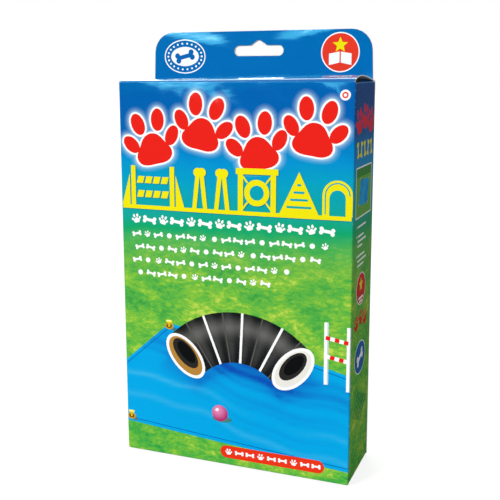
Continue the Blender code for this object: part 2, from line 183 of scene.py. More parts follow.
def grid(x0, y0, x1, y1, step):
    return [(float(x), float(y)) for x in np.arange(x0, x1, step) for y in np.arange(y0, y1, step)]


def triangles(outline, holes, inks, points, lines):
    """Cuts a flat blank into triangles along its outline, holes, inks, extra points and lines.

    Gives the points, the triangles that are board, and for each the ink that is printed last."""
    corners, faces, edges = [], [], []
    for contour in [outline, *holes, *(contour for _, contour in inks)]:
        contour = turned(finely(list(contour)))
        faces.append(list(range(len(corners), len(corners) + len(contour))))
        corners += contour
    for line in lines:
        edges += [(len(corners) + i, len(corners) + i + 1) for i in range(len(line) - 1)]
        corners += line
    flat, _, cut, _, _, owners = geometry.delaunay_2d_cdt(
        [Vector(c) for c in corners + points], edges, faces, 0, 1e-5, True)
    first_ink = 1 + len(holes)
    board, top = [], []
    for triangle, owner in zip(cut, owners):
        if 0 in owner and not any(0 < o < first_ink for o in owner):
            board.append(triangle)
            top.append(max(owner) - first_ink if max(owner) >= first_ink else None)
    used = sorted({i for triangle in board for i in triangle})
    index = {old: new for new, old in enumerate(used)}
    return [tuple(flat[i]) for i in used], [tuple(index[i] for i in triangle) for triangle in board], top


def rims(cut):
    """The border loops of a set of triangles that all turn the same way."""
    sides = {(t[i], t[(i + 1) % 3]) for t in cut for i in range(3)}
    follow = {a: b for a, b in sides if (b, a) not in sides}
    loops = []
    while follow:
        start, here = next(iter(follow.items()))
        loop = [start]
        del follow[start]
        while here != start:
            loop.append(here)
            here = follow.pop(here)
        loops.append(loop)
    return loops


def board_piece(name, outline, place, inks=(), holes=(), lines=(), step=POINT_STEP, wear=None, materials=(),
                printed_points=(), bent_points=(), thick=BOARD):
    """A piece of printed board: a flat blank in millimetres, put in its place by a function.

    place(u, v) gives a point of the printed face; the raw face lies the board's thickness behind it."""
    low, high = np.min(outline, axis=0), np.max(outline, axis=0)
    points = grid(low[0] + step / 2, low[1] + step / 2, high[0], high[1], step) + list(bent_points)
    flat, cut, top = triangles(outline, holes, inks, points + list(printed_points), lines)
    loops = rims(cut)
    big = max(loops, key=lambda loop: abs(sum(
        flat[a][0] * flat[b][1] - flat[b][0] * flat[a][1] for a, b in zip(loop, loop[1:] + loop[:1]))))
    cuts = [[flat[i] for i in loop] for loop in loops if loop is not big]
    raw_flat, raw_cut, _ = triangles([flat[i] for i in big], cuts, [], points, lines)

    def surface(u, v):
        return np.array(place(u, v), float)

    def facing(u, v):
        across = surface(u + SAMPLE, v) - surface(u - SAMPLE, v)
        up = surface(u, v + SAMPLE) - surface(u, v - SAMPLE)
        normal = np.cross(across, up)
        return normal / np.linalg.norm(normal)

    corners, normals = [], []
    for plan, depth, way in ((flat, 0.0, 1), (raw_flat, thick, -1)):
        for spot in plan:
            out = facing(*spot)
            corners.append(tuple((surface(*spot) - out * depth) * MM))
            normals.append(tuple(way * out))
    count = len(flat)
    behind = {(round(u, 3), round(v, 3)): count + i for i, (u, v) in enumerate(raw_flat)}
    edge_faces = []
    for loop in loops:
        rear = [behind[(round(flat[i][0], 3), round(flat[i][1], 3))] for i in loop]
        edge_faces += [(loop[k], loop[k - 1], rear[k - 1], rear[k]) for k in range(len(loop))]
    panels = cut + [tuple(count + i for i in reversed(t)) for t in raw_cut]
    mesh = bpy.data.meshes.new(name)
    mesh.from_pydata(corners, [], panels + edge_faces)
    for material in materials:
        mesh.materials.append(material)
    shades = np.ones((len(mesh.loops), 4), np.float32)
    for i, (triangle, last) in enumerate(zip(cut, top)):
        ink = linear("#FFFFFF", 0.0) if last is None else inks[last][0]
        ink = linear(ink) if isinstance(ink, str) else ink
        for k, corner in enumerate(triangle):
            shades[3 * i + k] = ink(*flat[corner]) if callable(ink) else ink
    mesh.color_attributes.new("ink", "FLOAT_COLOR", "CORNER").data.foreach_set("color", shades.ravel())
    worn = [wear(u, v) if wear else 0.0 for u, v in flat] + [0.0] * len(raw_flat)
    mesh.attributes.new("fold", "FLOAT", "POINT").data.foreach_set("value", np.array(worn, np.float32))
    mesh.polygons.foreach_set("material_index", [0] * len(cut) + [1] * (len(raw_cut) + len(edge_faces)))
    mesh.polygons.foreach_set("use_smooth", [True] * len(panels) + [False] * len(edge_faces))
    mesh.normals_split_custom_set([
        normals[loop.vertex_index] if loop.index < 3 * len(panels) else (0.0, 0.0, 0.0)
        for loop in mesh.loops])
    mesh.validate(clean_customdata=False)
    return in_scene(name, mesh)


def ridge(distance, width):
    """1 on a line and falling softly to 0 on both sides of it."""
    return math.exp(-((distance / width) ** 2))


def eased(share):
    """0 to 1 with soft ends."""
    share = min(max(share, 0.0), 1.0)
    return share * share * (3 - 2 * share)


def bow(rise, x, z, ends=1):
    """How far a large panel is pushed out by the contents between its creases."""
    if not 0 < z < TALL:
        return 0.0
    return rise * max(math.cos(math.pi * x / (2 * HALF_W)), 0.0) * math.sin(math.pi * z / TALL) ** ends


# Swellings under the lid's crease: place along it, width and height in millimetres.
SHOULDERS = ((-52, 6, 0.75), (-41, 7, 0.95), (-29, 6, 0.8), (-19, 6, 0.9), (-9, 4, 0.5), (58, 6, 1.35),
             (18, 7, 0.3))
SHOULDER_HIGH = 1.05
SHOULDER_LEAN = 0.7
SHOULDER_STARTS, SHOULDER_ENDS = 9.0, 26.0
# Folds of the header: inner end and its height, climb, outer end and how far they bend it back.
HEADER_FOLDS = ((-13.0, 253.2, -0.175, -66.0, 1.02), (5.0, 254.8, 0.22, 62.0, 0.96))
FOLD_WIDE = 8.5


def shoulder(x, z):
    """How far the front swells where the lid's crease has pulled it in, unevenly along the crease."""
    drop = max(TALL - z, 0.0)
    share = sum(much * ridge(x - middle - SHOULDER_LEAN * drop, width) for middle, width, much in SHOULDERS)
    return SHOULDER_HIGH * math.tanh(drop / SHOULDER_STARTS) * share * ridge(drop, SHOULDER_ENDS)


def header_warp(x, z):
    """How far the header is bent back above two soft folds that run out and up from its hang slot."""
    back = 0.0
    for inner, level, climb, outer, much in HEADER_FOLDS:
        along = (x - inner) / (outer - inner)
        above = z - level - climb * (x - inner)
        back += much * eased(along / 0.45) * (1 - 0.35 * eased(along)) * eased(above / FOLD_WIDE + 0.4)
    return back


# The sleeve's walls in plan, from the back panel round to the seam flap, and where each of them
# starts and ends on the flat plan.
SEAM = HALF_D - BOARD - GAP
CORNERS = [Vector(corner) for corner in (
    (HALF_W, HALF_D), (-HALF_W, HALF_D), (-HALF_W, -HALF_D), (HALF_W, -HALF_D), (HALF_W, SEAM),
    (HALF_W - GLUE_WIDE, SEAM))]
WALLS = list(zip(CORNERS, CORNERS[1:]))
STARTS = [-3 * HALF_W - 2 * HALF_D, -HALF_W - 2 * HALF_D, -HALF_W, HALF_W, HALF_W + HALF_D + SEAM]
ENDS = STARTS[1:] + [STARTS[-1] + GLUE_WIDE]
BACK, FRONT = 0, 2
BACK_MIDDLE = -2 * HALF_W - 2 * HALF_D
LEFT_MIDDLE = -HALF_W - HALF_D
RIGHT_MIDDLE = HALF_W + HALF_D
PLY_ROOM, PLY_ROOM_BELOW = 0.8 * GAP, 6.0


def sleeve_place(u, v):
    """Wraps the flat plan round the carton: u runs round it from the back panel's free edge."""
    wall = max(i for i in range(len(WALLS)) if u >= STARTS[i] or i == 0)
    start, end = WALLS[wall]
    along = (end - start).normalized()
    out = Vector((along.y, -along.x))
    t, length, r = u - STARTS[wall], ENDS[wall] - STARTS[wall], CREASE_RADIUS
    if wall > 0 and t < r:
        angle = (r - t) / r * math.pi / 4
        point = start + along * r - out * r + r * (out * math.cos(angle) - along * math.sin(angle))
    elif wall < len(WALLS) - 1 and t > length - r:
        angle = (t - length + r) / r * math.pi / 4
        point = end - along * r - out * r + r * (out * math.cos(angle) + along * math.sin(angle))
    else:
        point = start + along * t
    if wall == FRONT:
        point = point + out * (bow(FRONT_BOW, u, v) + shoulder(u, v))
    elif wall == BACK:
        point = point + out * bow(BACK_BOW, u - BACK_MIDDLE, v, 2)
        set_back = min(max((v - TALL) / PLY_ROOM_BELOW + 1, 0.0), 1.0)
        point = point - out * PLY_ROOM * set_back
        point = point + out * header_warp(BACK_MIDDLE - u, v)
    return point.x, point.y, v


def near_creases(u, v):
    """1 on an upright crease of the sleeve, falling to 0 at the end of its round."""
    return max(max(1 - abs(u - s) / CREASE_RADIUS, 0.0) for s in STARTS[1:])


# The flat plan's lower edge from the back panel to the seam flap; its upper edge mirrors it, and the
# header stands on the back panel.
FRONT_LOW = CREASE_RADIUS
SIDE_LOW = BOARD + GAP + CREASE_RADIUS
left_rear, left_front = STARTS[1] - CREASE_RADIUS, STARTS[2] - CREASE_RADIUS
right_front, right_rear = STARTS[3] + CREASE_RADIUS, STARTS[4] + CREASE_RADIUS
lower_edge = [
    (left_rear, 0.0), (left_rear, SIDE_LOW), (left_front, SIDE_LOW), (left_front, FRONT_LOW),
    (right_front, FRONT_LOW), (right_front, SIDE_LOW), (right_rear, SIDE_LOW), (right_rear, GLUE_LOW),
    (ENDS[4], GLUE_LOW + GLUE_TAPER),
]
header_left = BACK_MIDDLE - HALF_W + HEADER_INSET
header_right = BACK_MIDDLE + HALF_W - HEADER_INSET
sleeve_outline = rounded([
    (STARTS[0], 0.0, 0.0),
    *((u, v, 0.0) for u, v in lower_edge),
    *((u, TALL - v, 0.0) for u, v in reversed(lower_edge)),
    (header_right, TALL, 0.0),
    (header_right - HEADER_TAPER, TALL + HEADER_TALL, HEADER_CORNER),
    (header_left + HEADER_TAPER, TALL + HEADER_TALL, HEADER_CORNER),
    (header_left, TALL, 0.0),
    (STARTS[0], TALL, 0.0),
])
upright = [float(v) for v in np.arange(0.0, TALL, POINT_STEP)] + [TALL]
crease_lines = [
    [(crease + CREASE_RADIUS * k / (CREASE_STRIPS // 2), v) for v in upright]
    for crease in STARTS[1:]
    for k in range(-CREASE_STRIPS // 2, CREASE_STRIPS // 2 + 1)
]

# Artwork of the sleeve. Offset inks, drawn flat: each ink lies over the ones before it. An ink is a
# colour, or a function that gives the colour at a point where the print runs smoothly.
RED, WHITE, YELLOW, TEAL = "#EC2218", "#FFFFFF", "#F3E70C", "#0B7C8C"
PILL_RED, ROUNDEL_RED, BRASS, DEEP_BLUE = "#EF3517", "#D8241E", "#C69A2E", "#0A63B8"
BARE = linear(WHITE, 0.0)
HALO = "#C4E6F8"


def blended(first, second, share):
    share = min(max(share, 0.0), 1.0)
    return tuple(a + (b - a) * share for a, b in zip(first, second))


def turned_about(contour, x, y, turn):
    c, s = math.cos(math.radians(turn)), math.sin(math.radians(turn))
    return [(x + c * p - s * q, y + s * p + c * q) for p, q in contour]


def paw(x, y, size, turn, grow=0.0, count=22):
    """Contours of a paw print: a pad of three lobes and four toes, all made larger by grow."""
    more = grow / size
    pad = []
    for a in np.linspace(0, 2 * math.pi, count + 10, endpoint=False):
        reach = 1 + 0.13 * math.cos(3 * (a - math.pi / 2)) + more
        pad.append((1.12 * reach * math.cos(a), 0.92 * reach * math.sin(a) - 0.55))
    shapes = [pad]
    for angle, far, wide, tall in ((158, 1.45, 0.40, 0.62), (112, 1.75, 0.43, 0.66),
                                   (68, 1.75, 0.43, 0.66), (22, 1.45, 0.40, 0.62)):
        a = math.radians(angle)
        shapes.append(ellipse(far * math.cos(a) * 1.02, far * math.sin(a) - 0.45,
                              wide + more, tall + more, (angle - 90) * 0.55, count))
    return [turned_about([(p * size, q * size) for p, q in shape], x, y, turn) for shape in shapes]


def bone(x, y, long, turn=0.0, count=12):
    """Contours of a bone-shaped biscuit."""
    k = long / 2
    shapes = [ellipse(sx * k * 0.74, sy * k * 0.24, k * 0.27, count=count)
              for sx in (-1, 1) for sy in (-1, 1)]
    shapes.append([(-k * 0.74, -k * 0.2), (k * 0.74, -k * 0.2), (k * 0.74, k * 0.2), (-k * 0.74, k * 0.2)])
    return [turned_about(shape, x, y, turn) for shape in shapes]


def stroke(points, width):
    """A line of even width through points, as an outline."""
    path = [Vector(p) for p in points]
    left, right = [], []
    for i, here in enumerate(path):
        one = (here - path[i - 1]).normalized() if i else (path[1] - here).normalized()
        two = (path[i + 1] - here).normalized() if i < len(path) - 1 else one
        middle = (one + two).normalized()
        side = Vector((-middle.y, middle.x)) * width / 2 / max(middle.dot(one), 0.5)
        left.append(tuple(here + side))
        right.append(tuple(here - side))
    return left + right[::-1]


def box(x0, y0, x1, y1, corner=0.0):
    return rounded([(x0, y0, corner), (x1, y0, corner), (x1, y1, corner), (x0, y1, corner)])


def arc(x, y, radius, start, end, count=14):
    angles = np.radians(np.linspace(start, end, count))
    return [(x + radius * math.cos(a), y + radius * math.sin(a)) for a in angles]


def print_in(ink, contours):
    return [(ink, contour) for contour in contours]


front_inks = []
PAWS = [(-50.5, 196.5, 13), (-17.5, 206, -12), (16, 196, 10), (49.5, 204.5, -9)]
PAW_SIZE = 10.0
GLOW = [(4.4, 0.05), (3.6, 0.12), (2.9, 0.22), (2.3, 0.36), (1.7, 0.58)]
for grow, cover in GLOW:
    for x, y, turn in PAWS:
        front_inks += print_in(linear(HALO, cover), paw(x, y, PAW_SIZE, turn, grow))
for ink, grow in ((WHITE, 1.1), (RED, 0.0)):
    for x, y, turn in PAWS:
        front_inks += print_in(ink, paw(x, y, PAW_SIZE, turn, grow, 30))
for ink, radius in ((WHITE, 2.9), (RED, 1.7), (WHITE, 0.9)):
    front_inks.append((ink, ellipse(66.5, 224.5, radius)))

# Yellow silhouettes of a course on one ground line: a winged jump with striped bars, four poles, a
# tyre hung in its frame, a slatted ramp and a tunnel. A teal shade lies under their lower edges.
FLOOR, TOP = 158.0, 182.0
TYRE = (16, 169)
RAMP, RAMP_HALF = 41, 11.5
ARCH = 63.0
course = [box(-71, 155.8, 71, 158.2)]
for inner, way in ((-62.0, -1), (-39.0, 1)):
    wing = [(inner + way * 3.9, FLOOR), (inner + way * 9.5, FLOOR), (inner + way * 3.9, 177)]
    course += [box(min(inner, inner + way * 3), FLOOR, max(inner, inner + way * 3), TOP), wing]
for low in (163.0, 171.5):
    for left in (-61.2 + i * 5.4 for i in range(4)):
        course.append([(left, low), (left + 4.2, low), (left + 5.4, low + 4.2), (left + 1.2, low + 4.2)])
for i in range(4):
    x, lean = -23.0 + i * 7.0, 2.2 * (-1) ** i
    course += [stroke([(x, FLOOR), (x + lean, 178)], 2.7), ellipse(x + lean, 179.4, 2.7, count=20)]
course += [box(4.5, FLOOR, 7.7, TOP), box(24.3, FLOOR, 27.5, TOP), box(3.2, 179.5, 28.8, 183)]
course += [stroke([(TYRE[0] + 5.5 * sx, TYRE[1] + 5.5 * sy), (TYRE[0] + 9.5 * sx, TYRE[1] + 10.5 * sy)], 1.1)
           for sx in (-1, 1) for sy in (-1, 1)]
course += [ellipse(*TYRE, 7.6, count=40), [(RAMP - RAMP_HALF, FLOOR), (RAMP, TOP), (RAMP + RAMP_HALF, FLOOR)]]
course.append(arc(ARCH, 169.5, 8.6, 0, 180, 26) + [(ARCH - 8.6, FLOOR), (ARCH + 8.6, FLOOR)])
cutouts = [ellipse(*TYRE, 4.3, count=30)]
for height in (162.0, 166.2, 170.4, 174.6):
    reach = (TOP - height) * RAMP_HALF / 24 - 2.3
    cutouts.append(box(RAMP - reach, height - 0.65, RAMP + reach, height + 0.65, 0.6))
cutouts.append(stroke(arc(ARCH, 169.5, 6.9, 0, 180, 24) + [(ARCH - 6.9, 159.0)], 0.7))
cutouts.append(arc(ARCH, 168.0, 4.6, 0, 180, 20) + [(ARCH - 4.6, 158.2), (ARCH + 4.6, 158.2)])
front_inks += [(TEAL, [(x + 0.55, y - 0.5) for x, y in shape]) for shape in course]
front_inks += print_in(YELLOW, course) + print_in(BARE, cutouts)

# White rows of small motifs.
for i in range(7):
    front_inks += print_in(WHITE, paw(-62 + i * 18.4, 149.5, 1.7, 15 * (-1) ** i, count=12))
    front_inks += print_in(WHITE, bone(-53 + i * 18.4, 149.3, 9.0, -8))
for row, (height, count) in enumerate(((140.5, 17), (132.5, 16), (124.5, 14), (116.5, 12))):
    for i in range(count):
        x = -62 + i * 7.4 + (row % 2) * 2.0
        if (i + row) % 4 == 3:
            front_inks.append((WHITE, ellipse(x, height, 1.6, count=12)))
        elif (i + 2 * row) % 5 == 1:
            front_inks += print_in(WHITE, paw(x, height, 1.15, 20, count=8))
        else:
            front_inks += print_in(WHITE, bone(x, height, 6.2, 12 * (-1) ** i))

# The picture: the mat pegged out on the grass, a play tunnel, a jump and a ball. The tunnel is an
# arc round a middle with a radius and half a width; the mat's folds have a place, width and depth.
MAT_LIGHT, MAT_MID, MAT_DARK = linear("#04A8E6"), linear("#0A84D2"), linear("#0A50B4")
TUNNEL_X, TUNNEL_Y, TUNNEL_RADIUS, TUNNEL_HALF = 4.0, 36.0, 46.0, 15.5
FOLDS = ((70, 2.4, 0.55), (63, 3.0, 0.8), (57, 1.5, 0.5), (48, 2.6, 0.45), (43.5, 1.0, 0.35), (34, 1.6, 0.28),
         (29, 0.8, 0.22), (20, 2.0, 0.12))


def from_tunnel(x, y):
    """How far a point lies from the tunnel's middle line, in half widths, and its angle on the arc."""
    x, y = x - TUNNEL_X, y - TUNNEL_Y
    return (math.hypot(x, y) - TUNNEL_RADIUS) / TUNNEL_HALF, math.degrees(math.atan2(y, x))


def mat_blue(x, y):
    """Nylon laid out in the sun: soft folds that run down to the right, darker under the tunnel."""
    across = y + 0.22 * x + 2.4 * math.sin(x / 15.0) + 1.1 * math.sin(x / 6.3 + 1.0)
    fade = 0.55 + 0.45 * math.sin(x / 24.0 + 0.6)
    dark = 0.7 * sum(much * ridge(across - line, width) * (fade if line < 50 else 1.0)
                     for line, width, much in FOLDS)
    away, angle = from_tunnel(x, y + 9.0)
    under = min(max(min(angle - 26, 154 - angle) / 16, 0.0), 1.0)
    dark += 0.62 * under * math.exp(-max(abs(away) - 0.8, 0.0) * 5.0)
    shine = 0.4 * ridge(across - 39.0, 1.3) * (1 - fade) + 0.22 * ridge(across - 25.0, 1.6)
    colour = blended(MAT_LIGHT, MAT_MID, dark * 1.6)
    if dark >= 0.62:
        colour = blended(MAT_MID, MAT_DARK, (dark - 0.62) * 2.2)
    return blended(colour, linear("#5BC4EA"), shine)


def tunnel_cloth(x, y):
    """Black nylon stretched over hoops: a soft light along the top and a pleat at each hoop."""
    away, angle = from_tunnel(x, y)
    pleats = 0.07 * math.cos(2 * math.pi * angle / 12.0)
    light = 0.34 * ridge(away - 0.42, 0.30) + pleats - 0.10 * abs(away) ** 3
    return blended(linear("#191A1C"), linear("#8F8D88"), light + 0.08)


def cast(x, y):
    """The tunnel's shadow on the grass."""
    away, _ = from_tunnel(x - 4, y + 12)
    return linear("#1E5E2A", 0.62 * math.exp(-max(abs(away) - 0.7, 0.0) ** 2 * 5.0))


def ball_pink(x, y):
    return blended(linear("#F59AC8"), linear("#B01468"), math.hypot(x + 9.4, y - 35.0) / 7.0)


tunnel = arc(TUNNEL_X, TUNNEL_Y, TUNNEL_RADIUS, 138, 42, 33)
front_inks += [
    (cast, stroke([(x + 5, y - 10) for x, y in tunnel], 46)),
    (mat_blue, [(-72.9, 58), (-41, 86), (22, 79), (72.9, 66), (72.9, 8), (-72.9, 19)]),
    (DEEP_BLUE, stroke([(-72.9, 55.4), (-40.6, 83.6), (22, 76.8), (72.9, 63.8)], 0.5)),
    (DEEP_BLUE, stroke([(-72.9, 21.2), (72.9, 10.2)], 0.5)),
    (tunnel_cloth, stroke(tunnel, 2 * TUNNEL_HALF)),
]
for i in range(1, 33, 4):
    x, y = tunnel[i]
    a = math.atan2(y - TUNNEL_Y, x - TUNNEL_X)
    hoop = [(x + d * math.cos(a), y + d * math.sin(a)) for d in (-15.5, -8, 0, 8, 15.5)]
    front_inks.append((WHITE, stroke(hoop, 1.5)) if i % 8 == 1 else ("#5A5853", stroke(hoop, 0.8)))
for (x, y), lining, lean in ((tunnel[0], "#B8863B", 42), (tunnel[-1], "#EDEAE2", -42)):
    front_inks += [
        (WHITE, ellipse(x, y, 9.5, 16.2, lean, 34)), (lining, ellipse(x, y, 7.8, 14.2, lean, 30)),
        ("#2A2927", ellipse(x, y + 1.6, 5.6, 11.0, lean, 28)),
        ("#0F0F10", ellipse(x + 0.6, y + 2.4, 3.8, 8.0, lean, 24)),
    ]
for x, foot, top in ((57.5, 60, 97), (70.6, 57, 95)):
    front_inks.append(("#C9D6DC", stroke([(x + 0.5, foot), (x + 0.5, top)], 2.4)))
    front_inks.append((WHITE, stroke([(x, foot), (x, top)], 1.8)))
for height, colours in ((88, (RED, WHITE)), (77, (WHITE, RED))):
    bar = [(57.5 + i * 2.62, height - i * 0.45) for i in range(6)]
    front_inks += [(colours[i % 2], stroke(bar[i : i + 2], 2.4)) for i in range(5)]
front_inks += [
    (linear("#0647A0", 0.6), ellipse(-6.5, 29.4, 6.4, 2.2, count=24)),
    (ball_pink, ellipse(-8, 33, 5.2, count=28)), (WHITE, ellipse(-9.8, 35.0, 1.2, 0.9, 30, 12)),
]
for x, y in ((-41, 84.4), (-69, 22)):
    front_inks += [
        (linear("#0A4C9A", 0.7), ellipse(x + 1.6, y - 1.2, 3.2, 1.4, -15, 18)),
        (BRASS, ellipse(x, y, 3.0, 2.1, count=20)), ("#5E4312", ellipse(x, y, 1.9, 1.3, count=16)),
        ("#E3B512", box(x - 0.8, y - 0.6, x + 0.8, y + 3.2, 0.5)),
        (YELLOW, box(x - 2.1, y + 2.2, x + 2.1, y + 3.9, 0.6)),
        (WHITE, box(x - 1.5, y + 3.1, x + 1.2, y + 3.5, 0.15)),
    ]
picture_points = grid(-71, 9, 72, 88, 2.0)
picture_points += [(TUNNEL_X + r * math.cos(a), TUNNEL_Y + r * math.sin(a))
                   for r in np.linspace(32, 60, 9) for a in np.radians(np.arange(43, 138, 1.5))]

# The pill near the foot of the front.
front_inks.append((PILL_RED, box(-8.0, 4.6, 57.5, 12.6, 3.95)))
for i, x in enumerate(-2.6 + i * 6.9 for i in range(9)):
    front_inks += print_in(WHITE, bone(x, 8.6, 5.6) if i % 3 else paw(x, 8.5, 1.2, 0, count=8))


def framed_mat(x, y, wide, tall, turn=0.0):
    """A small framed picture of the mat on the grass, held by a peg at each corner."""
    half, high = wide / 2, tall / 2
    inner_half, inner_high = half - 0.8, high - 0.8
    mat_corners = ((-0.66, -0.45), (0.5, -0.62), (0.7, 0.35), (-0.4, 0.55))
    edge = turned_about([(half * p, high * q) for p, q in mat_corners], x, y, turn)

    def cloth(p, q):
        across = (q - y) + 0.4 * (p - x)
        dark = 0.7 * ridge(across - 0.16 * tall, 0.05 * tall) + 0.5 * ridge(across + 0.12 * tall, 0.04 * tall)
        return blended(MAT_LIGHT, MAT_DARK, dark)

    inks = [(WHITE, box(x - half, y - high, x + half, y + high, 0.8)),
            ("#67B144", box(x - inner_half, y - inner_high, x + inner_half, y + inner_high, 0.4)),
            ("#3D8F3A", box(x - inner_half, y + high * 0.6, x + inner_half, y + inner_high, 0.4)),
            (cloth, edge)]
    for p, q in edge:
        inks += [(BRASS, ellipse(p, q, 0.9, count=12)), (YELLOW, ellipse(p, q + 0.5, 0.55, count=10))]
    return inks


def bulleted(x, y, lines):
    """A disc with short white bars beside it."""
    bars = [box(x + 2.2, y - 0.55 - 2.9 * row, x + 2.2 + long, y + 0.55 - 2.9 * row, 0.5)
            for row, long in enumerate(lines)]
    return print_in(WHITE, [ellipse(x, y, 0.7, count=10), *bars])


def badge(x, y, rx, ry, colour):
    return [(WHITE, ellipse(x, y, rx + 0.6, ry + 0.6, count=36)), (colour, ellipse(x, y, rx, ry, count=36))]


def star(x, y, radius):
    return [(x + r * math.sin(a), y + r * math.cos(a)) for a, r in (
        (math.pi * i / 5, radius if i % 2 == 0 else radius * 0.44) for i in range(10))]


def side_art():
    """Artwork of a side panel, from the top down, on a ground darkened near the top by a painted shade."""
    # Painted shade: a violet-navy cover that grows towards the top and darkens the panel there, as if it were
    # in shade.
    def painted_top_shade(x, y):
        return linear("#1B1450", 0.42 * eased((y - 178) / 45))

    inks = [(painted_top_shade, box(-HALF_D + 0.05, 170, HALF_D - 0.05, TALL))]
    for x, y, turn in ((-13.2, 209.0, 12), (0.4, 211.2, -8), (14.2, 208.6, 10)):
        inks += print_in("#E8203A", paw(x, y, 4.4, turn, 0.0, 18))
    for i in range(5):
        inks += print_in(YELLOW, bone(-15.4 + i * 7.9, 194.0, 9.0, 78 if i % 2 else 102))
    inks += framed_mat(0.0, 170.0, 37.0, 29.0, 4)
    for y, lines in ((150.5, (19,)), (145.0, (14, 20, 11)), (133.5, (17, 21, 15))):
        inks += bulleted(-14.5, y, lines)
    inks += badge(-2.0, 113.0, 10.5, 9.0, ROUNDEL_RED) + [(YELLOW, star(-2.0, 115.4, 4.6))]
    inks += print_in(WHITE, [box(-7.6, 106.8, 3.6, 108.2, 0.6), box(-6.0, 104.8, 2.0, 106.0, 0.6)])
    for x, y, turn in ((-11.5, 93.5, 20), (-1.0, 95.0, -10), (9.5, 92.5, 14)):
        inks += print_in(ROUNDEL_RED, paw(x, y, 2.9, turn, 0.0, 16))
    inks += badge(-1.0, 71.0, 12.5, 9.4, "#1668B0") + print_in(WHITE, bone(-1.0, 71.0, 14.0, 20, 16))
    for x, y in ((-16.0 + i * 3.6, 38.0 - i * 1.5) for i in range(6)):
        inks.append(("#0E7A45", stroke([(x, y), (x + 13.0, y + 12.0)], 1.4)))
    return inks


def back_art():
    """Artwork of the back: a trail, three framed steps, bulleted bars and the mat seen from above."""
    inks = []
    for i in range(7):
        x, way = -57 + i * 19, (-1) ** i
        inks += print_in(RED if i % 2 else YELLOW, paw(x, 215 + 4 * way, 4.4, 14 * way, 0.0, 18))
    for x, turn in ((-44, -8), (0, 5), (44, 16)):
        inks += framed_mat(x, 178, 38, 30, turn) + print_in(WHITE, bone(x, 156.5, 10.0, 0, 16))
    for x in (-62, 6):
        for y, lines in ((144, (46, 40, 30)), (132, (50, 44)), (122, (38, 48, 26))):
            inks += bulleted(x, y, lines)
    inks += framed_mat(0.0, 62.0, 124.0, 84.0, 2) + [(PILL_RED, box(-40, 5.0, 40, 12.6, 3.75))]
    for i, x in enumerate(-33 + i * 6.6 for i in range(11)):
        inks += print_in(WHITE, bone(x, 8.8, 5.2) if i % 2 else paw(x, 8.6, 1.1, 0, count=8))
    return inks


def shifted(inks, middle):
    """Inks drawn about a panel's middle, moved to that panel's place on the flat plan."""
    def here(ink):
        return (lambda u, v: ink(u - middle, v)) if callable(ink) else ink

    return [(here(ink), [(x + middle, y) for x, y in contour]) for ink, contour in inks]


glue_flap = [(STARTS[4] + 0.6, 0), (ENDS[4] + 1, 0), (ENDS[4] + 1, TALL), (STARTS[4] + 0.6, TALL)]
sleeve_inks = front_inks + shifted(side_art(), RIGHT_MIDDLE) + shifted(side_art(), LEFT_MIDDLE)
sleeve_inks += shifted(back_art(), BACK_MIDDLE) + [("#E6E4DD", glue_flap)]

# Board printed and varnished: white coated paper under cyan, magenta, yellow and black, with a gloss
# varnish over all of it. The varnish gives sharp, slightly cool reflections, which a faint orange peel
# and the board's long, shallow cockles break up. On its creases the print is worn through.
SKY = (
    (0.000, "#2EB24A"), (0.085, "#4CB446"), (0.30, "#5FB544"), (0.52, "#62B04C"), (0.585, "#3DAF58"),
    (0.625, "#12A76C"), (0.655, "#16A794"), (0.69, "#0CA4AC"), (0.735, "#05A2C2"), (0.793, "#0491D0"),
    (0.828, "#0280C6"), (0.862, "#0264B2"), (0.965, "#0060AE"), (1.0, "#006CB2"),
)
GRASS = ((0.0, "#2A9440"), (0.30, "#4DB044"), (0.55, "#74BE3E"), (0.78, "#9CCE3C"), (1.0, "#D4E35E"))
GRASS_TOP, GRASS_FULL = 0.152, 0.122


def new_material(name):
    """A material with its tree and its shader."""
    made = bpy.data.materials.new(name)
    made.use_nodes = True
    return made, made.node_tree, made.node_tree.nodes["Principled BSDF"]


def printed_over(tree, place, ground, brightest):
    """The 'ink' attribute's inks over a ground, broken up by the fine dots of an offset screen."""
    ink = node(tree, "ShaderNodeAttribute", out=None, attribute_name="ink").outputs
    inked = node(tree, MIX, {0: ink["Alpha"], 6: ground, 7: ink["Color"]}, 2, data_type="RGBA")
    dots = node(tree, NOISE, {"Scale": 1500.0, "Detail": 2.0, "Vector": place})
    dots = node(tree, RANGE, {0: dots, 3: 0.93, 4: brightest})
    return node(tree, MIX, {0: 1.0, 6: inked, 7: dots}, 2, data_type="RGBA", blend_type="MULTIPLY")


def mottled(name, shades, pattern, relief=None, gloss=None, **constants):
    """A material between two shades, mixed by a fine noise with the settings in pattern.

    relief is the strength and height of a bump, and the noise of its own that it has or None. gloss is
    the range of roughness that follows the shades, and constants are set on the shader."""
    made, tree, shader = new_material(name)
    place = node(tree, "ShaderNodeTexCoord", out="Object")
    spread = node(tree, NOISE, {**pattern, "Vector": place})
    first, second = (linear(shade) for shade in shades)
    mixed = node(tree, MIX, {0: spread, 6: first, 7: second}, 2, data_type="RGBA")
    feed(tree, shader, {"Base Color": mixed, **constants})
    if relief:
        strength, deep, grain = relief
        raised = node(tree, NOISE, {**grain, "Vector": place}) if grain else spread
        bump = node(tree, BUMP, {"Strength": strength, "Distance": deep, "Height": raised})
        feed(tree, shader, {"Normal": bump})
    if gloss:
        feed(tree, shader, {"Roughness": node(tree, RANGE, {0: spread, 3: gloss[0], 4: gloss[1]})})
    return made


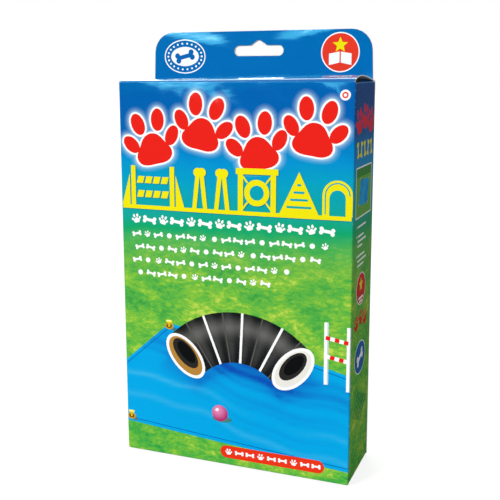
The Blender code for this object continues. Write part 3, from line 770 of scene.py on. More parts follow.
varnished, tree, shader = new_material("varnished_print_on_boxboard")
place = node(tree, "ShaderNodeTexCoord", out="Object")
drift = node(tree, NOISE, {"Scale": 55.0, "Detail": 2.0, "Vector": place})
spot = node(tree, "ShaderNodeSeparateXYZ", [place], None).outputs
height = node(tree, MATH, (spot["X"], -0.036, spot["Z"]), operation="MULTIPLY_ADD")
height = node(tree, MATH, (drift, 0.012, height), operation="MULTIPLY_ADD")
share = node(tree, RANGE, (height, 0.0085, TALL * MM + 0.0085))
flattened = node(tree, "ShaderNodeMapping", {"Scale": (1.0, 1.0, 1.9), "Vector": place})
blades = node(tree, NOISE, {
    "Scale": 230.0, "Detail": 5.0, "Roughness": 0.68, "Distortion": 0.6, "Vector": flattened})
tufts = node(tree, NOISE, {"Scale": 52.0, "Detail": 3.0, "Vector": flattened})
lawn = node(tree, MATH, (tufts, 0.8, blades), operation="MULTIPLY_ADD")
lawn = node(tree, RANGE, (lawn, 0.62, 1.16))
colours = []
for driver, stops in ((share, SKY), (lawn, GRASS)):
    ramp = node(tree, "ShaderNodeValToRGB", [driver], None)
    ramp.color_ramp.elements.remove(ramp.color_ramp.elements[1])
    for i, (position, colour) in enumerate(stops):
        stop = ramp.color_ramp.elements.new(position) if i else ramp.color_ramp.elements[0]
        stop.position, stop.color = position, linear(colour)
    colours.append(ramp.outputs[0])
field = node(tree, RANGE, (height, GRASS_TOP, GRASS_FULL, 0.0, 0.8))
ground = node(tree, MIX, {0: field, 6: colours[0], 7: colours[1]}, 2, data_type="RGBA")
print_face = printed_over(tree, place, ground, 1.05)
scuff = node(tree, NOISE, {"Scale": 420.0, "Detail": 4.0, "Roughness": 0.7, "Vector": place})
fold = node(tree, "ShaderNodeAttribute", out="Fac", attribute_name="fold")
chipped = node(tree, MATH, (fold, 0.42, scuff), operation="MULTIPLY_ADD")
chipped = node(tree, RANGE, (chipped, 0.98, 1.06))
face = node(tree, MIX, {0: chipped, 6: print_face, 7: linear("#D9E4EC")}, 2, data_type="RGBA")
handling = node(tree, NOISE, {"Scale": 38.0, "Detail": 3.0, "Vector": place})
peel = node(tree, NOISE, {"Scale": 900.0, "Detail": 3.0, "Vector": place})
bump = node(tree, BUMP, {"Strength": 0.10, "Distance": 0.0002, "Height": peel})
stretched = node(tree, "ShaderNodeMapping", {"Scale": (0.5, 0.2, 1.5), "Vector": place})
cockle = node(tree, NOISE, {"Scale": 120.0, "Detail": 3.0, "Vector": stretched})
bump = node(tree, BUMP, {"Strength": 1.0, "Distance": 0.00014, "Height": cockle, "Normal": bump})
gloss = node(tree, RANGE, {0: handling, 3: 0.09, 4: 0.17})
feed(tree, shader, {
    "Base Color": face, "Roughness": gloss, "Normal": bump, "IOR": 1.45, "Specular IOR Level": 0.4,
    "Specular Tint": linear("#B4F4FF")})

# Uncoated side and cut edges of the board: grey-white pulp, matt, with short fibres pressed flat.
raw_board = mottled(
    "uncoated_pulp_board", ("#D2CEC3", "#F4F2EB"), {"Scale": 650.0, "Detail": 5.0, "Distortion": 1.5},
    (0.25, 0.0001, None), Roughness=0.85)
BOARD_FACES = (varnished, raw_board)

sleeve = board_piece(
    "carton_sleeve", sleeve_outline, sleeve_place, sleeve_inks,
    [[(BACK_MIDDLE + p, q) for p, q in hang_slot(-REAR_SLOT_MARGIN)]], crease_lines, wear=near_creases,
    materials=BOARD_FACES, printed_points=picture_points,
    bent_points=grid(header_left + 2, TALL + 13, header_right - 2, TALL + HEADER_TALL - 1, 2.4))
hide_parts("front_panel", "back_panel", "left_side_panel", "right_side_panel", "glued_seam_flap")
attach(sleeve, "carton")

# Header front ply: the same board, glued to the rear ply so that the header is stiff enough to
# hang from, and tucked down behind the lid. Its hang slot is the larger one, so the rear ply's cut
# edge shows as a thin rim inside it.
PLY_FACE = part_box("header_front_ply")[0].y / MM
PLY_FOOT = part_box("header_front_ply")[0].z / MM
RING_X, RING_Y = -49.5, 246.5
DISC_X, DISC_Y = 51.0, 248.0
RING_DOTS = 22
half = HALF_W - HEADER_INSET
ply_outline = rounded([
    (-half, PLY_FOOT, 2.0), (half, PLY_FOOT, 2.0), (half, TALL, 0.0),
    (half - HEADER_TAPER, TALL + HEADER_TALL, HEADER_CORNER),
    (HEADER_TAPER - half, TALL + HEADER_TALL, HEADER_CORNER), (-half, TALL, 0.0),
])
ply_inks = [
    (WHITE, ellipse(RING_X, RING_Y, 14.2, 10.6, count=40)),
    ("#006CB2", ellipse(RING_X, RING_Y, 13.5, 9.9, count=40)),
    (WHITE, ellipse(RING_X, RING_Y, 9.6, 6.0, count=34)),
    (WHITE, ellipse(DISC_X, DISC_Y, 11.7, count=44)), ("#EC3A26", ellipse(DISC_X, DISC_Y, 11.0, count=44)),
]
ply_inks += print_in("#0B63AE", bone(RING_X, RING_Y, 13.0, 14))
for a in (2 * math.pi * i / RING_DOTS for i in range(RING_DOTS)):
    ply_inks.append((WHITE, ellipse(RING_X + 11.6 * math.cos(a), RING_Y + 8.0 * math.sin(a), 0.65, count=8)))
ply_inks.append((YELLOW, star(DISC_X, 252.2, 4.8)))
ply_inks += print_in(WHITE, [[(44.2, 240.6), (50.6, 242.0), (50.6, 248.4), (44.2, 247.2)],
                             [(51.4, 242.0), (57.8, 240.6), (57.8, 247.2), (51.4, 248.4)]])
header_ply = board_piece(
    "header_front_ply_board", ply_outline, lambda u, v: (u, PLY_FACE + header_warp(u, v), v), ply_inks,
    [hang_slot()], materials=BOARD_FACES, step=2.4)
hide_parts("header_front_ply")
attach(header_ply, "carton")

# Tuck closures at the top and at the foot: a lid creased to the front panel, a tongue that slides
# in behind it and two dust flaps creased to the sides. All of them are the sleeve's own board.
TUCK_LEAN = 15.0
TUCK_HALF = 64.0
TUCK_LONG = 14.0
TUCK_CORNER = 9.0
DUST_LONG = 38.0
DUST_TAPER = math.radians(30)
DUST_FRONT_ROOM, DUST_REAR_ROOM, DUST_SHOULDER, DUST_CORNER = 2.0, 7.5, 4.5, 4.0
LID_HALF = HALF_W - 0.5
LID_RISES = {"top": (0.8, 3.0), "bottom": (0.0, 0.0)}
# A lid opens by half a turn. Its crease is divided into seven strips, and crease_middle gives the fine line
# between the third and the fourth, along which a bend would keep the printed face outside whichever way it
# has turned; nothing here bends it.
LID_STRIPS = 7
crease_middle = CREASE_RADIUS * (1 - math.sqrt(0.5))
TUCK_TANGENT = CREASE_RADIUS * math.tan(math.radians(90 + TUCK_LEAN) / 2)
UNPRINTED = "#E9E7E0"
BLEED = 5.0
WORN_END, END_WEAR = 0.5, 1.5


def folded(corner, along, incoming, out, fold, rise=None):
    """Places board that leaves one flat face, turns round a crease and carries on in another.

    u runs along the crease; v is 0 at the crease, below 0 before it and above 0 past it."""
    corner, along, incoming, out = (Vector(p) for p in (corner, along, incoming, out))
    angle = math.radians(fold)
    tangent = CREASE_RADIUS * math.tan(angle / 2)
    onward = incoming * math.cos(angle) - out * math.sin(angle)

    def place(u, v):
        start = corner + along * u
        if v <= -tangent:
            point = start + incoming * v
        elif v >= tangent:
            point = start + onward * v
        else:
            a = (v + tangent) / (2 * tangent) * angle
            centre = start - incoming * tangent - out * CREASE_RADIUS
            point = centre + CREASE_RADIUS * (out * math.cos(a) + incoming * math.sin(a))
        return point + rise(u, v, point) if rise else point

    return place


def level_lines(half, tangent, strips=CREASE_STRIPS):
    """Lines across a flap that divide its crease's round into strips."""
    across = [float(x) for x in np.linspace(-half - 1, half + 1, 24)]
    return [[(x, float(v)) for x in across] for v in np.linspace(-tangent, tangent, strips + 1)]


def end_lines(half, deep):
    """Lines just inside the two cut ends of a flap, which bound the worn strip along them."""
    rows = [float(v) for v in np.arange(-CREASE_RADIUS, deep, 1.5)] + [deep]
    return [[(way * (half - WORN_END), v) for v in rows] for way in (-1, 1)]


def crease_wear(tangent, half=None):
    """Wear of a flap: along its crease, and where half is given along its two cut ends as well."""
    def wear(u, v):
        return max(1 - abs(v) / tangent, END_WEAR if half and abs(u) > half - WORN_END / 2 else 0.0)

    return wear


def dust_outline(facing):
    """A dust flap's outline; facing says which way along its crease the carton's rear lies."""
    deep = 2 * HALF_D
    rear, back = deep - BOARD - 2 * GAP - 2 * BOARD, deep - DUST_REAR_ROOM
    tip = DUST_FRONT_ROOM + (DUST_LONG - BOARD - GAP) * math.tan(DUST_TAPER)
    corners = [
        (DUST_FRONT_ROOM, -CREASE_RADIUS, 0.0), (rear, -CREASE_RADIUS, 0.0), (rear, DUST_SHOULDER, 0.0),
        (back, DUST_SHOULDER, 0.0), (back, DUST_LONG, DUST_CORNER), (tip, DUST_LONG, DUST_CORNER),
    ]
    return rounded([((depth - HALF_D) * facing, v, r) for depth, v, r in corners][::facing])


for end, level, up in (("top", TALL, 1.0), ("bottom", 0.0, -1.0)):
    lid_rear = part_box(f"{end}_lid")[1].y / MM
    deep = lid_rear + HALF_D

    def lid_rise(u, v, point):
        """The lid's bulge, and the bow of the front panel that its crease follows."""
        left, right = LID_RISES[end]
        across = left + (right - left) * (u + LID_HALF) / (2 * LID_HALF)
        swell = across * math.sin(math.pi * min(max((v - 0.4) / (deep - 0.4), 0.0), 1.0) ** 0.66)
        out = bow(FRONT_BOW, u, point.z) + (shoulder(u, point.z) if up > 0 and v < CREASE_RADIUS else 0.0)
        return Vector((0.0, -out, swell * up))

    lid_inks = []
    for i in range(7 if end == "bottom" else 0):
        x, way = -57 + i * 19, (-1) ** i
        lid_inks += print_in(WHITE, bone(x, 17.0 + 3 * way, 12.0, 14 * way, 14))
        lid_inks += print_in(YELLOW if i % 2 else RED, paw(x + 1.5, 32.0 - 3 * way, 2.7, 18 * way, 0.0, 16))
    notch = deep - TUCK_TANGENT
    lid = board_piece(
        f"{end}_lid_board", [
            (-LID_HALF, -CREASE_RADIUS), (LID_HALF, -CREASE_RADIUS), (LID_HALF, deep), (TUCK_HALF, deep),
            (TUCK_HALF, notch), (-TUCK_HALF, notch), (-TUCK_HALF, deep), (-LID_HALF, deep)],
        folded((0, -HALF_D, level), (up, 0, 0), (0, 0, up), (0, -1, 0), 90, lid_rise), lid_inks,
        lines=level_lines(LID_HALF, CREASE_RADIUS, LID_STRIPS) + end_lines(LID_HALF, deep),
        wear=crease_wear(CREASE_RADIUS, LID_HALF), materials=BOARD_FACES, step=2.5)
    middle = Vector((0, crease_middle - HALF_D, level - up * crease_middle))
    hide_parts(f"{end}_lid")
    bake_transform(lid)
    tuck = board_piece(
        f"{end}_tuck_board", rounded([
            (-TUCK_HALF, -TUCK_TANGENT, 0.0), (TUCK_HALF, -TUCK_TANGENT, 0.0),
            (TUCK_HALF, TUCK_LONG, TUCK_CORNER), (-TUCK_HALF, TUCK_LONG, TUCK_CORNER)]),
        folded((0, lid_rear, level), (up, 0, 0), (0, 1, 0), (0, 0, up), 90 + TUCK_LEAN),
        [(UNPRINTED, box(-TUCK_HALF - 1, BLEED, TUCK_HALF + 1, TUCK_LONG + 1))],
        lines=level_lines(TUCK_HALF, TUCK_TANGENT), wear=crease_wear(TUCK_TANGENT), materials=BOARD_FACES,
        step=5.0)
    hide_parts(f"{end}_tuck_flap")
    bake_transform(tuck)
    for side, way in (("left", -1), ("right", 1)):
        facing = int(way * up)
        flap_level = level - up * (BOARD + GAP)
        dust = board_piece(
            f"{end}_dust_{side}_board", dust_outline(facing),
            folded((way * HALF_W, 0, flap_level), (0, facing, 0), (0, 0, up), (way, 0, 0), 90),
            [(UNPRINTED, box(-HALF_D - 1, BLEED, HALF_D + 1, DUST_LONG + 1))],
            lines=level_lines(HALF_D, CREASE_RADIUS), wear=crease_wear(CREASE_RADIUS),
            materials=BOARD_FACES, step=5.0)
        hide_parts(f"{end}_dust_flap_{side}")
        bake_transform(dust)

# Folded mat: plain woven polyester with a ripstop thread every five millimetres, cut 1.2 by 0.9 metres
# and hemmed. Folding has gone six times along it and then seven times across, so its edges show as
# loops. Around each eyelet the plies are pressed together and the eyelet's own ply has its hole.
mat_low, mat_high = (np.array(corner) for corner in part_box("folded_mat"))
CLOTH_THICK = 0.00018
MAT_LAYERS = 7
MAT_PLIES = 6
PLY_STACK = 0.0029
HEM = 0.028
SLACK, SLACK_DEEP = 0.0022, 0.02
HOLE_RADIUS = 0.0064
FINE_ZONE = 0.0135
# Round an eyelet: where the pressing starts and is full, half a layer's depth and the depth at which
# its outer ply begins, and the share of its depth that a ply keeps, inmost and more at the outer ply.
PRESS_STARTS, PRESS_FULL = 0.013, 0.0092
LAYER_HALF, OUTER_PLY = 0.0016, 0.0009
KEPT_INMOST, KEPT_MORE, PLY_REACH = 0.62, 0.158, 0.00135
EYELET_NODES = ("eyelet_front_outer", "eyelet_front_inner", "eyelet_back_inner", "eyelet_back_outer")
eyelet_centres = [(Vector(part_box(name)[0]) + Vector(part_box(name)[1])) / 2 for name in EYELET_NODES]


def folded_line(layers, pitch, reach, near=(), fine=0.0015, coarse=0.012, turn_steps=6):
    """Points of a folded line in a plane: straight layers from -reach to reach joined by half circles.

    near holds (layer, place) pairs round which the points lie close together."""
    line = []
    for layer in range(layers):
        way = 1 if layer % 2 == 0 else -1
        stops = set(np.linspace(-reach, reach, max(round(2 * reach / coarse), 2) + 1).round(6).tolist())
        for beside, middle in near:
            if beside in (layer, "every"):
                zone = np.arange(middle - FINE_ZONE, middle + FINE_ZONE + fine / 2, fine).round(6)
                stops = {s for s in stops if abs(s - middle) > FINE_ZONE + 0.001} | set(zone.tolist())
        ordered = sorted((s for s in stops if abs(s) <= reach + 1e-9), reverse=way < 0)
        line += [(s, layer * pitch) for s in ordered]
        for step in range(1, turn_steps if layer < layers - 1 else 0):
            angle = -math.pi / 2 + math.pi * step / turn_steps
            across, up = pitch / 2 * math.cos(angle), pitch / 2 * (1 + math.sin(angle))
            line.append((way * (reach + across), layer * pitch + up))
    return line


def drawn_curve(name, lines, closed=False):
    """A curve object through points, which a node tree uses and grown() then throws away."""
    data = bpy.data.curves.new(name, "CURVE")
    data.dimensions = "3D"
    for line in lines:
        spline = data.splines.new("POLY")
        spline.points.add(len(line) - 1)
        spline.use_cyclic_u = closed
        for point, place in zip(spline.points, line):
            point.co = (*place, 1.0)
    return in_scene(name, data)


def geometry_tree(name, inputs):
    """A node tree with a geometry input and output and further named inputs; gives it and its inputs."""
    tree = bpy.data.node_groups.new(name, "GeometryNodeTree")
    for label, kind in {"Geometry": "Geometry", "Material": "Material", **inputs}.items():
        tree.interface.new_socket(name=label, in_out="INPUT", socket_type=f"NodeSocket{kind}")
    tree.interface.new_socket(name="Geometry", in_out="OUTPUT", socket_type="NodeSocketGeometry")
    return tree, node(tree, "NodeGroupInput", out=None).outputs


def close_tree(tree, given, geometry):
    """Ends a tree: instances made real and the material set."""
    real = node(tree, "GeometryNodeRealizeInstances", [geometry])
    dressed = node(tree, "GeometryNodeSetMaterial", {"Geometry": real, "Material": given["Material"]})
    node(tree, "NodeGroupOutput", [dressed], None)


def grown(name, tree, values, points=(), thickness=0.0):
    """Runs a tree on points with its inputs set, and keeps the result as a plain mesh."""
    seed_mesh = bpy.data.meshes.new(name + "_seed")
    seed_mesh.from_pydata([tuple(p) for p in points], [], [])
    seed = in_scene(name + "_seed", seed_mesh)
    form = seed.modifiers.new("form", "NODES")
    form.node_group = tree
    for item in tree.interface.items_tree:
        if item.in_out == "INPUT" and item.name in values:
            form[item.identifier] = values[item.name]
    if thickness:
        shell = seed.modifiers.new("thickness", "SOLIDIFY")
        shell.thickness, shell.offset = thickness, 0.0
    mesh = bpy.data.meshes.new_from_object(seed.evaluated_get(bpy.context.evaluated_depsgraph_get()))
    for used in [seed, *(value for value in values.values() if isinstance(value, bpy.types.Object))]:
        bpy.data.objects.remove(used)
    return in_scene(name, mesh)


def swept(tree, given):
    """Sweeps the Profile curve along the Path curve, and stores the way along both as 'cloth'."""
    captured = {}
    for label in ("Path", "Profile"):
        curve = node(tree, "GeometryNodeObjectInfo", {"Object": given[label]}, "Geometry")
        if label == "Path":
            curve = node(tree, "GeometryNodeSetCurveNormal", {"Curve": curve}, mode="Z_UP")
        keep = node(tree, "GeometryNodeCaptureAttribute", {"Geometry": curve}, None)
        keep.capture_items.new("FLOAT", "Length")
        feed(tree, keep, {1: node(tree, "GeometryNodeSplineParameter", out="Length")})
        captured[label] = keep.outputs
    path, profile = captured["Path"], captured["Profile"]
    sheet = node(tree, "GeometryNodeCurveToMesh", {"Curve": path[0], "Profile Curve": profile[0]})
    way = node(tree, "ShaderNodeCombineXYZ", {"X": path[1], "Y": profile[1]})
    return node(tree, "GeometryNodeStoreNamedAttribute", {
        "Name": "cloth", "Geometry": sheet, "Value": way}, data_type="FLOAT_VECTOR")


# The cloth's look: a matt weave in sky blue, with a slightly raised grid. The threads are 0.3 mm apart
# in the real cloth and are drawn at 0.8 mm, which is as fine as a close view shows.
WEAVE_STEP, GRID_STEP = 0.0008, 0.005
WAVES_PER_SCALE = 2 * math.pi / 20
polyester, tree, shader = new_material("woven_ripstop_polyester")
cloth_place = node(tree, "ShaderNodeAttribute", out="Vector", attribute_name="cloth")
threads, grids = [], []
for direction in ("X", "Y"):
    for spacing, waves in ((WEAVE_STEP, threads), (GRID_STEP, grids)):
        waves.append(node(tree, "ShaderNodeTexWave", {
            "Scale": WAVES_PER_SCALE / spacing, "Vector": cloth_place}, "Fac", bands_direction=direction))
weave = node(tree, MATH, threads, operation="MULTIPLY")
grids = [node(tree, RANGE, (wave, 0.98, 1.0)) for wave in grids]
ripstop = node(tree, MATH, grids, operation="MAXIMUM")
creased = node(tree, NOISE, {"Scale": 24.0, "Detail": 4.0, "Distortion": 0.8, "Vector": cloth_place})
# Mottled dye and painted shade: the blue is lighter where the crease noise raises the cloth and darker in its
# hollows.
dye_and_crease_shade = node(tree, MIX, {0: creased, 6: linear("#0B86CE"), 7: linear("#2BABE8")}, 2, data_type="RGBA")
dye_and_crease_shade = node(tree, MIX, {0: ripstop, 6: dye_and_crease_shade, 7: linear("#117CC2")}, 2, data_type="RGBA")
relief = node(tree, MATH, (ripstop, 0.5, weave), operation="MULTIPLY_ADD")
relief = node(tree, MATH, (creased, 3.0, relief), operation="MULTIPLY_ADD")
feed(tree, shader, {
    "Base Color": dye_and_crease_shade, "Roughness": 0.62, "Sheen Weight": 0.25, "Sheen Roughness": 0.4,
    "Normal": node(tree, BUMP, {"Strength": 0.5, "Distance": 0.00025, "Height": relief})})

# The tree folds the cloth, gives it slack that grows towards its upper end, draws the plies together
# round each eyelet and cuts the hole in the ply that the eyelet is pressed through.
tree, given = geometry_tree("folded_mat_tree", {
    "Path": "Object", "Profile": "Object", "Hole": "Float", "Front eyelet": "Vector", "Back eyelet": "Vector",
    "Slack": "Float"})
sheet = swept(tree, given)
cloth = node(tree, "GeometryNodeInputNamedAttribute", {"Name": "cloth"}, data_type="FLOAT_VECTOR")
slack = node(tree, NOISE, {"Scale": 14.0, "Detail": 3.0, "Vector": cloth}, "Color")
slack = node(tree, "ShaderNodeVectorMath", (slack, (0.5, 0.5, 0.9)), operation="SUBTRACT")
position = node(tree, "GeometryNodeInputPosition")
level = node(tree, "ShaderNodeSeparateXYZ", [position], "Z")
from_end = node(tree, RANGE, (level, mat_high[2] - SLACK_DEEP, mat_high[2]))
weights = node(tree, "ShaderNodeCombineXYZ", {"Y": 0.12, "Z": from_end})
slack = node(tree, "ShaderNodeVectorMath", (slack, weights), operation="MULTIPLY")
slack = node(tree, "ShaderNodeVectorMath", {0: slack, "Scale": given["Slack"]}, operation="SCALE")
sheet = node(tree, "GeometryNodeSetPosition", {"Geometry": sheet, "Offset": slack})
for eyelet in ("Front eyelet", "Back eyelet"):
    away = node(tree, "ShaderNodeVectorMath", (position, given[eyelet]), operation="SUBTRACT")
    depth = node(tree, "ShaderNodeSeparateXYZ", [away], "Y")
    level = node(tree, "ShaderNodeVectorMath", (away, (1.0, 0.0, 1.0)), operation="MULTIPLY")
    far = node(tree, "ShaderNodeVectorMath", [level], "Value", operation="LENGTH")
    size = node(tree, MATH, [depth], operation="ABSOLUTE")
    in_layer = node(tree, MATH, (size, LAYER_HALF), operation="LESS_THAN")
    share = node(tree, RANGE, (far, PRESS_STARTS, PRESS_FULL), interpolation_type="SMOOTHSTEP")
    share = node(tree, MATH, (share, in_layer), operation="MULTIPLY")
    squared = node(tree, MATH, (size, size), operation="MULTIPLY")
    growth = KEPT_MORE / PLY_REACH ** 2
    kept = node(tree, MATH, (squared, growth, KEPT_INMOST - 1.0), operation="MULTIPLY_ADD")
    pressed = node(tree, MATH, (depth, kept), operation="MULTIPLY")
    pressed = node(tree, MATH, (pressed, share), operation="MULTIPLY")
    pressed = node(tree, "ShaderNodeCombineXYZ", {"Y": pressed})
    sheet = node(tree, "GeometryNodeSetPosition", {"Geometry": sheet, "Offset": pressed})
    outer_ply = node(tree, MATH, (size, OUTER_PLY), operation="GREATER_THAN")
    outer_ply = node(tree, MATH, (outer_ply, in_layer), operation="MULTIPLY")
    in_hole = node(tree, MATH, (far, given["Hole"]), operation="LESS_THAN")
    in_hole = node(tree, MATH, (in_hole, outer_ply), operation="MULTIPLY")
    sheet = node(tree, "GeometryNodeDeleteGeometry", {"Geometry": sheet, "Selection": in_hole}, domain="FACE")
close_tree(tree, given, sheet)

layer_pitch = (mat_high[1] - mat_low[1] - PLY_STACK) / (MAT_LAYERS - 1)
ply_pitch = (PLY_STACK - CLOTH_THICK) / (MAT_PLIES - 1)
mat_reach = mat_high[0] - (layer_pitch + PLY_STACK) / 2
ply_reach = (mat_high[2] - mat_low[2] - ply_pitch - CLOTH_THICK) / 2
mat_middle = (mat_high[2] + mat_low[2]) / 2
eyelet_out, eyelet_up = -eyelet_centres[0].x, eyelet_centres[0].z - mat_middle
layers = folded_line(MAT_LAYERS, layer_pitch, mat_reach, ((0, -eyelet_out), (MAT_LAYERS - 1, eyelet_out)))
layers = [(x, y + mat_low[1] + PLY_STACK / 2, mat_middle) for x, y in layers]
plies = folded_line(MAT_PLIES, ply_pitch, ply_reach, (("every", -eyelet_up),), turn_steps=4)
plies = [(ply_pitch * (MAT_PLIES - 1) / 2 - y, -x, 0.0) for x, y in plies]
mat = grown("folded_mat_cloth", tree, {
    "Path": drawn_curve("mat_path", [layers]), "Profile": drawn_curve("mat_profile", [plies]),
    "Front eyelet": (eyelet_centres[0] + eyelet_centres[1]) / 2,
    "Back eyelet": (eyelet_centres[2] + eyelet_centres[3]) / 2,
    "Hole": HOLE_RADIUS, "Slack": SLACK, "Material": polyester}, thickness=CLOTH_THICK)
mat.data.polygons.foreach_set("use_smooth", [True] * len(mat.data.polygons))
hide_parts("folded_mat")
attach(mat, "carton")

# Hem stitches: white polyester thread in a lockstitch, one stitch every three millimetres, made where
# the hem lies on the outside of the folded mat. The thread is 0.4 mm thick and sinks into the cloth.
STITCH_STEP, STITCH_LONG, THREAD_THICK = 0.003, 0.0023, 0.0004
thread, tree, shader = new_material("twisted_polyester_thread")
place = node(tree, "ShaderNodeTexCoord", out="Object")
twist = node(tree, "ShaderNodeTexWave", {"Scale": 900.0, "Vector": place}, "Fac", bands_direction="DIAGONAL")
spun = node(tree, MIX, {0: twist, 6: linear("#C9D3DA"), 7: linear("#F4F7F8")}, 2, data_type="RGBA")
bump = node(tree, BUMP, {"Strength": 0.4, "Distance": 0.00005, "Height": twist})
feed(tree, shader, {"Base Color": spun, "Normal": bump, "Roughness": 0.7})

tree, given = geometry_tree(
    "stitch_tree", {"Seam": "Object", "Step": "Float", "Long": "Float", "Thick": "Float"})
seam = node(tree, "GeometryNodeObjectInfo", {"Object": given["Seam"]}, "Geometry")
seam = node(tree, "GeometryNodeResampleCurve", {"Curve": seam, "Length": given["Step"]}, mode="LENGTH")
grain = node(tree, "GeometryNodeMeshUVSphere", {"Segments": 8, "Rings": 6, "Radius": 0.5}, "Mesh")
sizes = node(tree, "ShaderNodeCombineXYZ", (given["Thick"], given["Thick"], given["Long"]))
along = node(tree, "GeometryNodeInputTangent")
facing = node(tree, "FunctionNodeAlignRotationToVector", {"Vector": along}, axis="Z")
stitched = node(tree, "GeometryNodeInstanceOnPoints", {
    "Points": seam, "Instance": grain, "Rotation": facing, "Scale": sizes})
close_tree(tree, given, stitched)
seams = []
for face, end in ((mat_low[1], -1), (mat_high[1], 1)):
    side, level = end * (mat_reach - HEM), mat_high[2] - HEM
    seams += [[(side, face, mat_low[2] + 0.004), (side, face, mat_high[2] - 0.006)],
              [(-mat_reach, face, level), (mat_reach, face, level)]]
stitches = grown("hem_stitches", tree, {
    "Seam": drawn_curve("hem_seams", seams), "Step": STITCH_STEP, "Long": STITCH_LONG, "Thick": THREAD_THICK,
    "Material": thread})
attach(stitches, "carton")

# Eyelets: two stamped brass parts each, a domed flange with a barrel and a washer, pressed together
# through one ply of cloth. Polished by the stamping, with a tarnish that has begun in patches.
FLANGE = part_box("eyelet_front_outer")[1].x - eyelet_centres[0].x
FLANGE_HALF = 0.0004
BORE = 0.0045
brass = mottled("stamped_brass", ("#EBCB7C", "#CDA45A"), {"Scale": 260.0, "Detail": 4.0},
                gloss=(0.14, 0.30), Metallic=1.0)
# Half the section of an eyelet, as shares of the flange's width and of its height from the middle ply.
FLANGE_SECTION = (
    (0.0, 0.0), (0.0, 0.70), (0.03, 0.95), (0.10, 1.0), (0.42, 0.96), (0.90, 0.60), (0.99, 0.50), (1.0, 0.38),
    (0.96, 0.30), (0.13, 0.33), (0.13, 0.0))
tree, given = geometry_tree("eyelet_tree", {"Bore": "Float", "Section": "Object"})
ring = node(tree, "GeometryNodeCurvePrimitiveCircle", {"Resolution": 48, "Radius": given["Bore"]})
ring = node(tree, "GeometryNodeSetCurveNormal", {"Curve": ring}, mode="Z_UP")
section = node(tree, "GeometryNodeObjectInfo", {"Object": given["Section"]}, "Geometry")
pressed = node(tree, "GeometryNodeCurveToMesh", {"Curve": ring, "Profile Curve": section})
pressed = node(tree, "GeometryNodeInstanceOnPoints", {
    "Points": given["Geometry"], "Instance": pressed, "Rotation": (math.pi / 2, 0.0, 0.0)})
close_tree(tree, given, pressed)
section_points = [(x * (FLANGE - BORE), h * FLANGE_HALF, 0.0) for x, h in FLANGE_SECTION]
section_points += [(x, -h, 0.0) for x, h, _ in section_points[-2:0:-1]]
section_curve = drawn_curve("eyelet_section", [section_points], closed=True)
eyelets = grown("pressed_eyelets", tree, {
    "Bore": BORE, "Section": section_curve, "Material": brass}, eyelet_centres)
eyelets.data.polygons.foreach_set("use_smooth", [True] * len(eyelets.data.polygons))
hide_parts(*EYELET_NODES)
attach(eyelets, "carton")

# Ground pegs: yellow polypropylene, injection moulded with a cross-shaped shank and a flat striking
# head. The moulding carries barbs on the shank's edges and ribs across the head.
PEG_NODES = [f"ground_peg_{i}" for i in (1, 2, 3, 4)]
SHANK_HALF, BARB_SINK = 0.006, 0.0006
BARBS, FIRST_BARB, BARB_STEP = 10, 0.036, 0.009
RIB_STEP, RIB_SINK = 0.0042, 0.0001
polypropylene = mottled(
    "moulded_polypropylene", ("#F0C400", "#FBD92A"), {"Scale": 45.0, "Detail": 3.0, "Distortion": 1.2},
    (0.15, 0.0001, {"Scale": 1400.0, "Detail": 2.0}), (0.28, 0.42), IOR=1.49)

tree, given = geometry_tree("bar_tree", {"Sides": "Int", "Radius": "Float", "Long": "Float"})
bar = node(tree, "GeometryNodeMeshCylinder", {
    "Vertices": given["Sides"], "Radius": given["Radius"], "Depth": given["Long"]}, "Mesh")
bars = node(tree, "GeometryNodeInstanceOnPoints", {
    "Points": given["Geometry"], "Instance": bar, "Rotation": (math.pi / 2, 0.0, 0.0)})
close_tree(tree, given, bars)
barb_points, rib_points = [], []
for name in PEG_NODES:
    low, high = (Vector(corner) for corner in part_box(name))
    middle = (low + high) / 2
    barb_points += [(middle.x + way * (SHANK_HALF - BARB_SINK), middle.y, low.z + FIRST_BARB + BARB_STEP * i)
                    for way in (-1, 1) for i in range(BARBS)]
    rib_points += [(middle.x + RIB_STEP * i, middle.y, high.z - RIB_SINK) for i in range(-2, 3)]
    for slot in bpy.data.objects[name].material_slots:
        slot.material = polypropylene
for name, sides, radius, long, points in (
        ("peg_barbs", 4, 0.0018, 0.0026, barb_points), ("peg_head_ribs", 14, 0.0007, 0.0082, rib_points)):
    moulded = grown(name, tree, {
        "Sides": sides, "Radius": radius, "Long": long, "Material": polypropylene}, points)
    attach(moulded, "carton")

# Guide: a stapled booklet. Its cover is one sheet of coated card, printed like the carton and folded
# round the spine; its pages are four folded sheets of thin white paper.
guide_low, guide_high = (np.array(corner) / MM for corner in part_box("guide_cover"))
COVER_THICK = 0.3
STAPLE_HOLE = 0.4
spine = (guide_high[1] - guide_low[1]) / 2
spine_x, spine_y = guide_low[0] + spine, (guide_low[1] + guide_high[1]) / 2
spine_half = spine * math.pi / 2
cover_wide = guide_high[0] - spine_x
cover_half = cover_wide + spine_half
cover_middle = spine_half + cover_wide / 2


def cover_place(u, v):
    """Folds the flat cover round its spine: u runs from the back cover's edge to the front cover's."""
    straight = abs(u) - spine_half
    if straight > 0:
        return spine_x + straight, spine_y - math.copysign(spine, u), v
    angle = u / spine
    return spine_x - spine * math.cos(angle), spine_y - spine * math.sin(angle), v


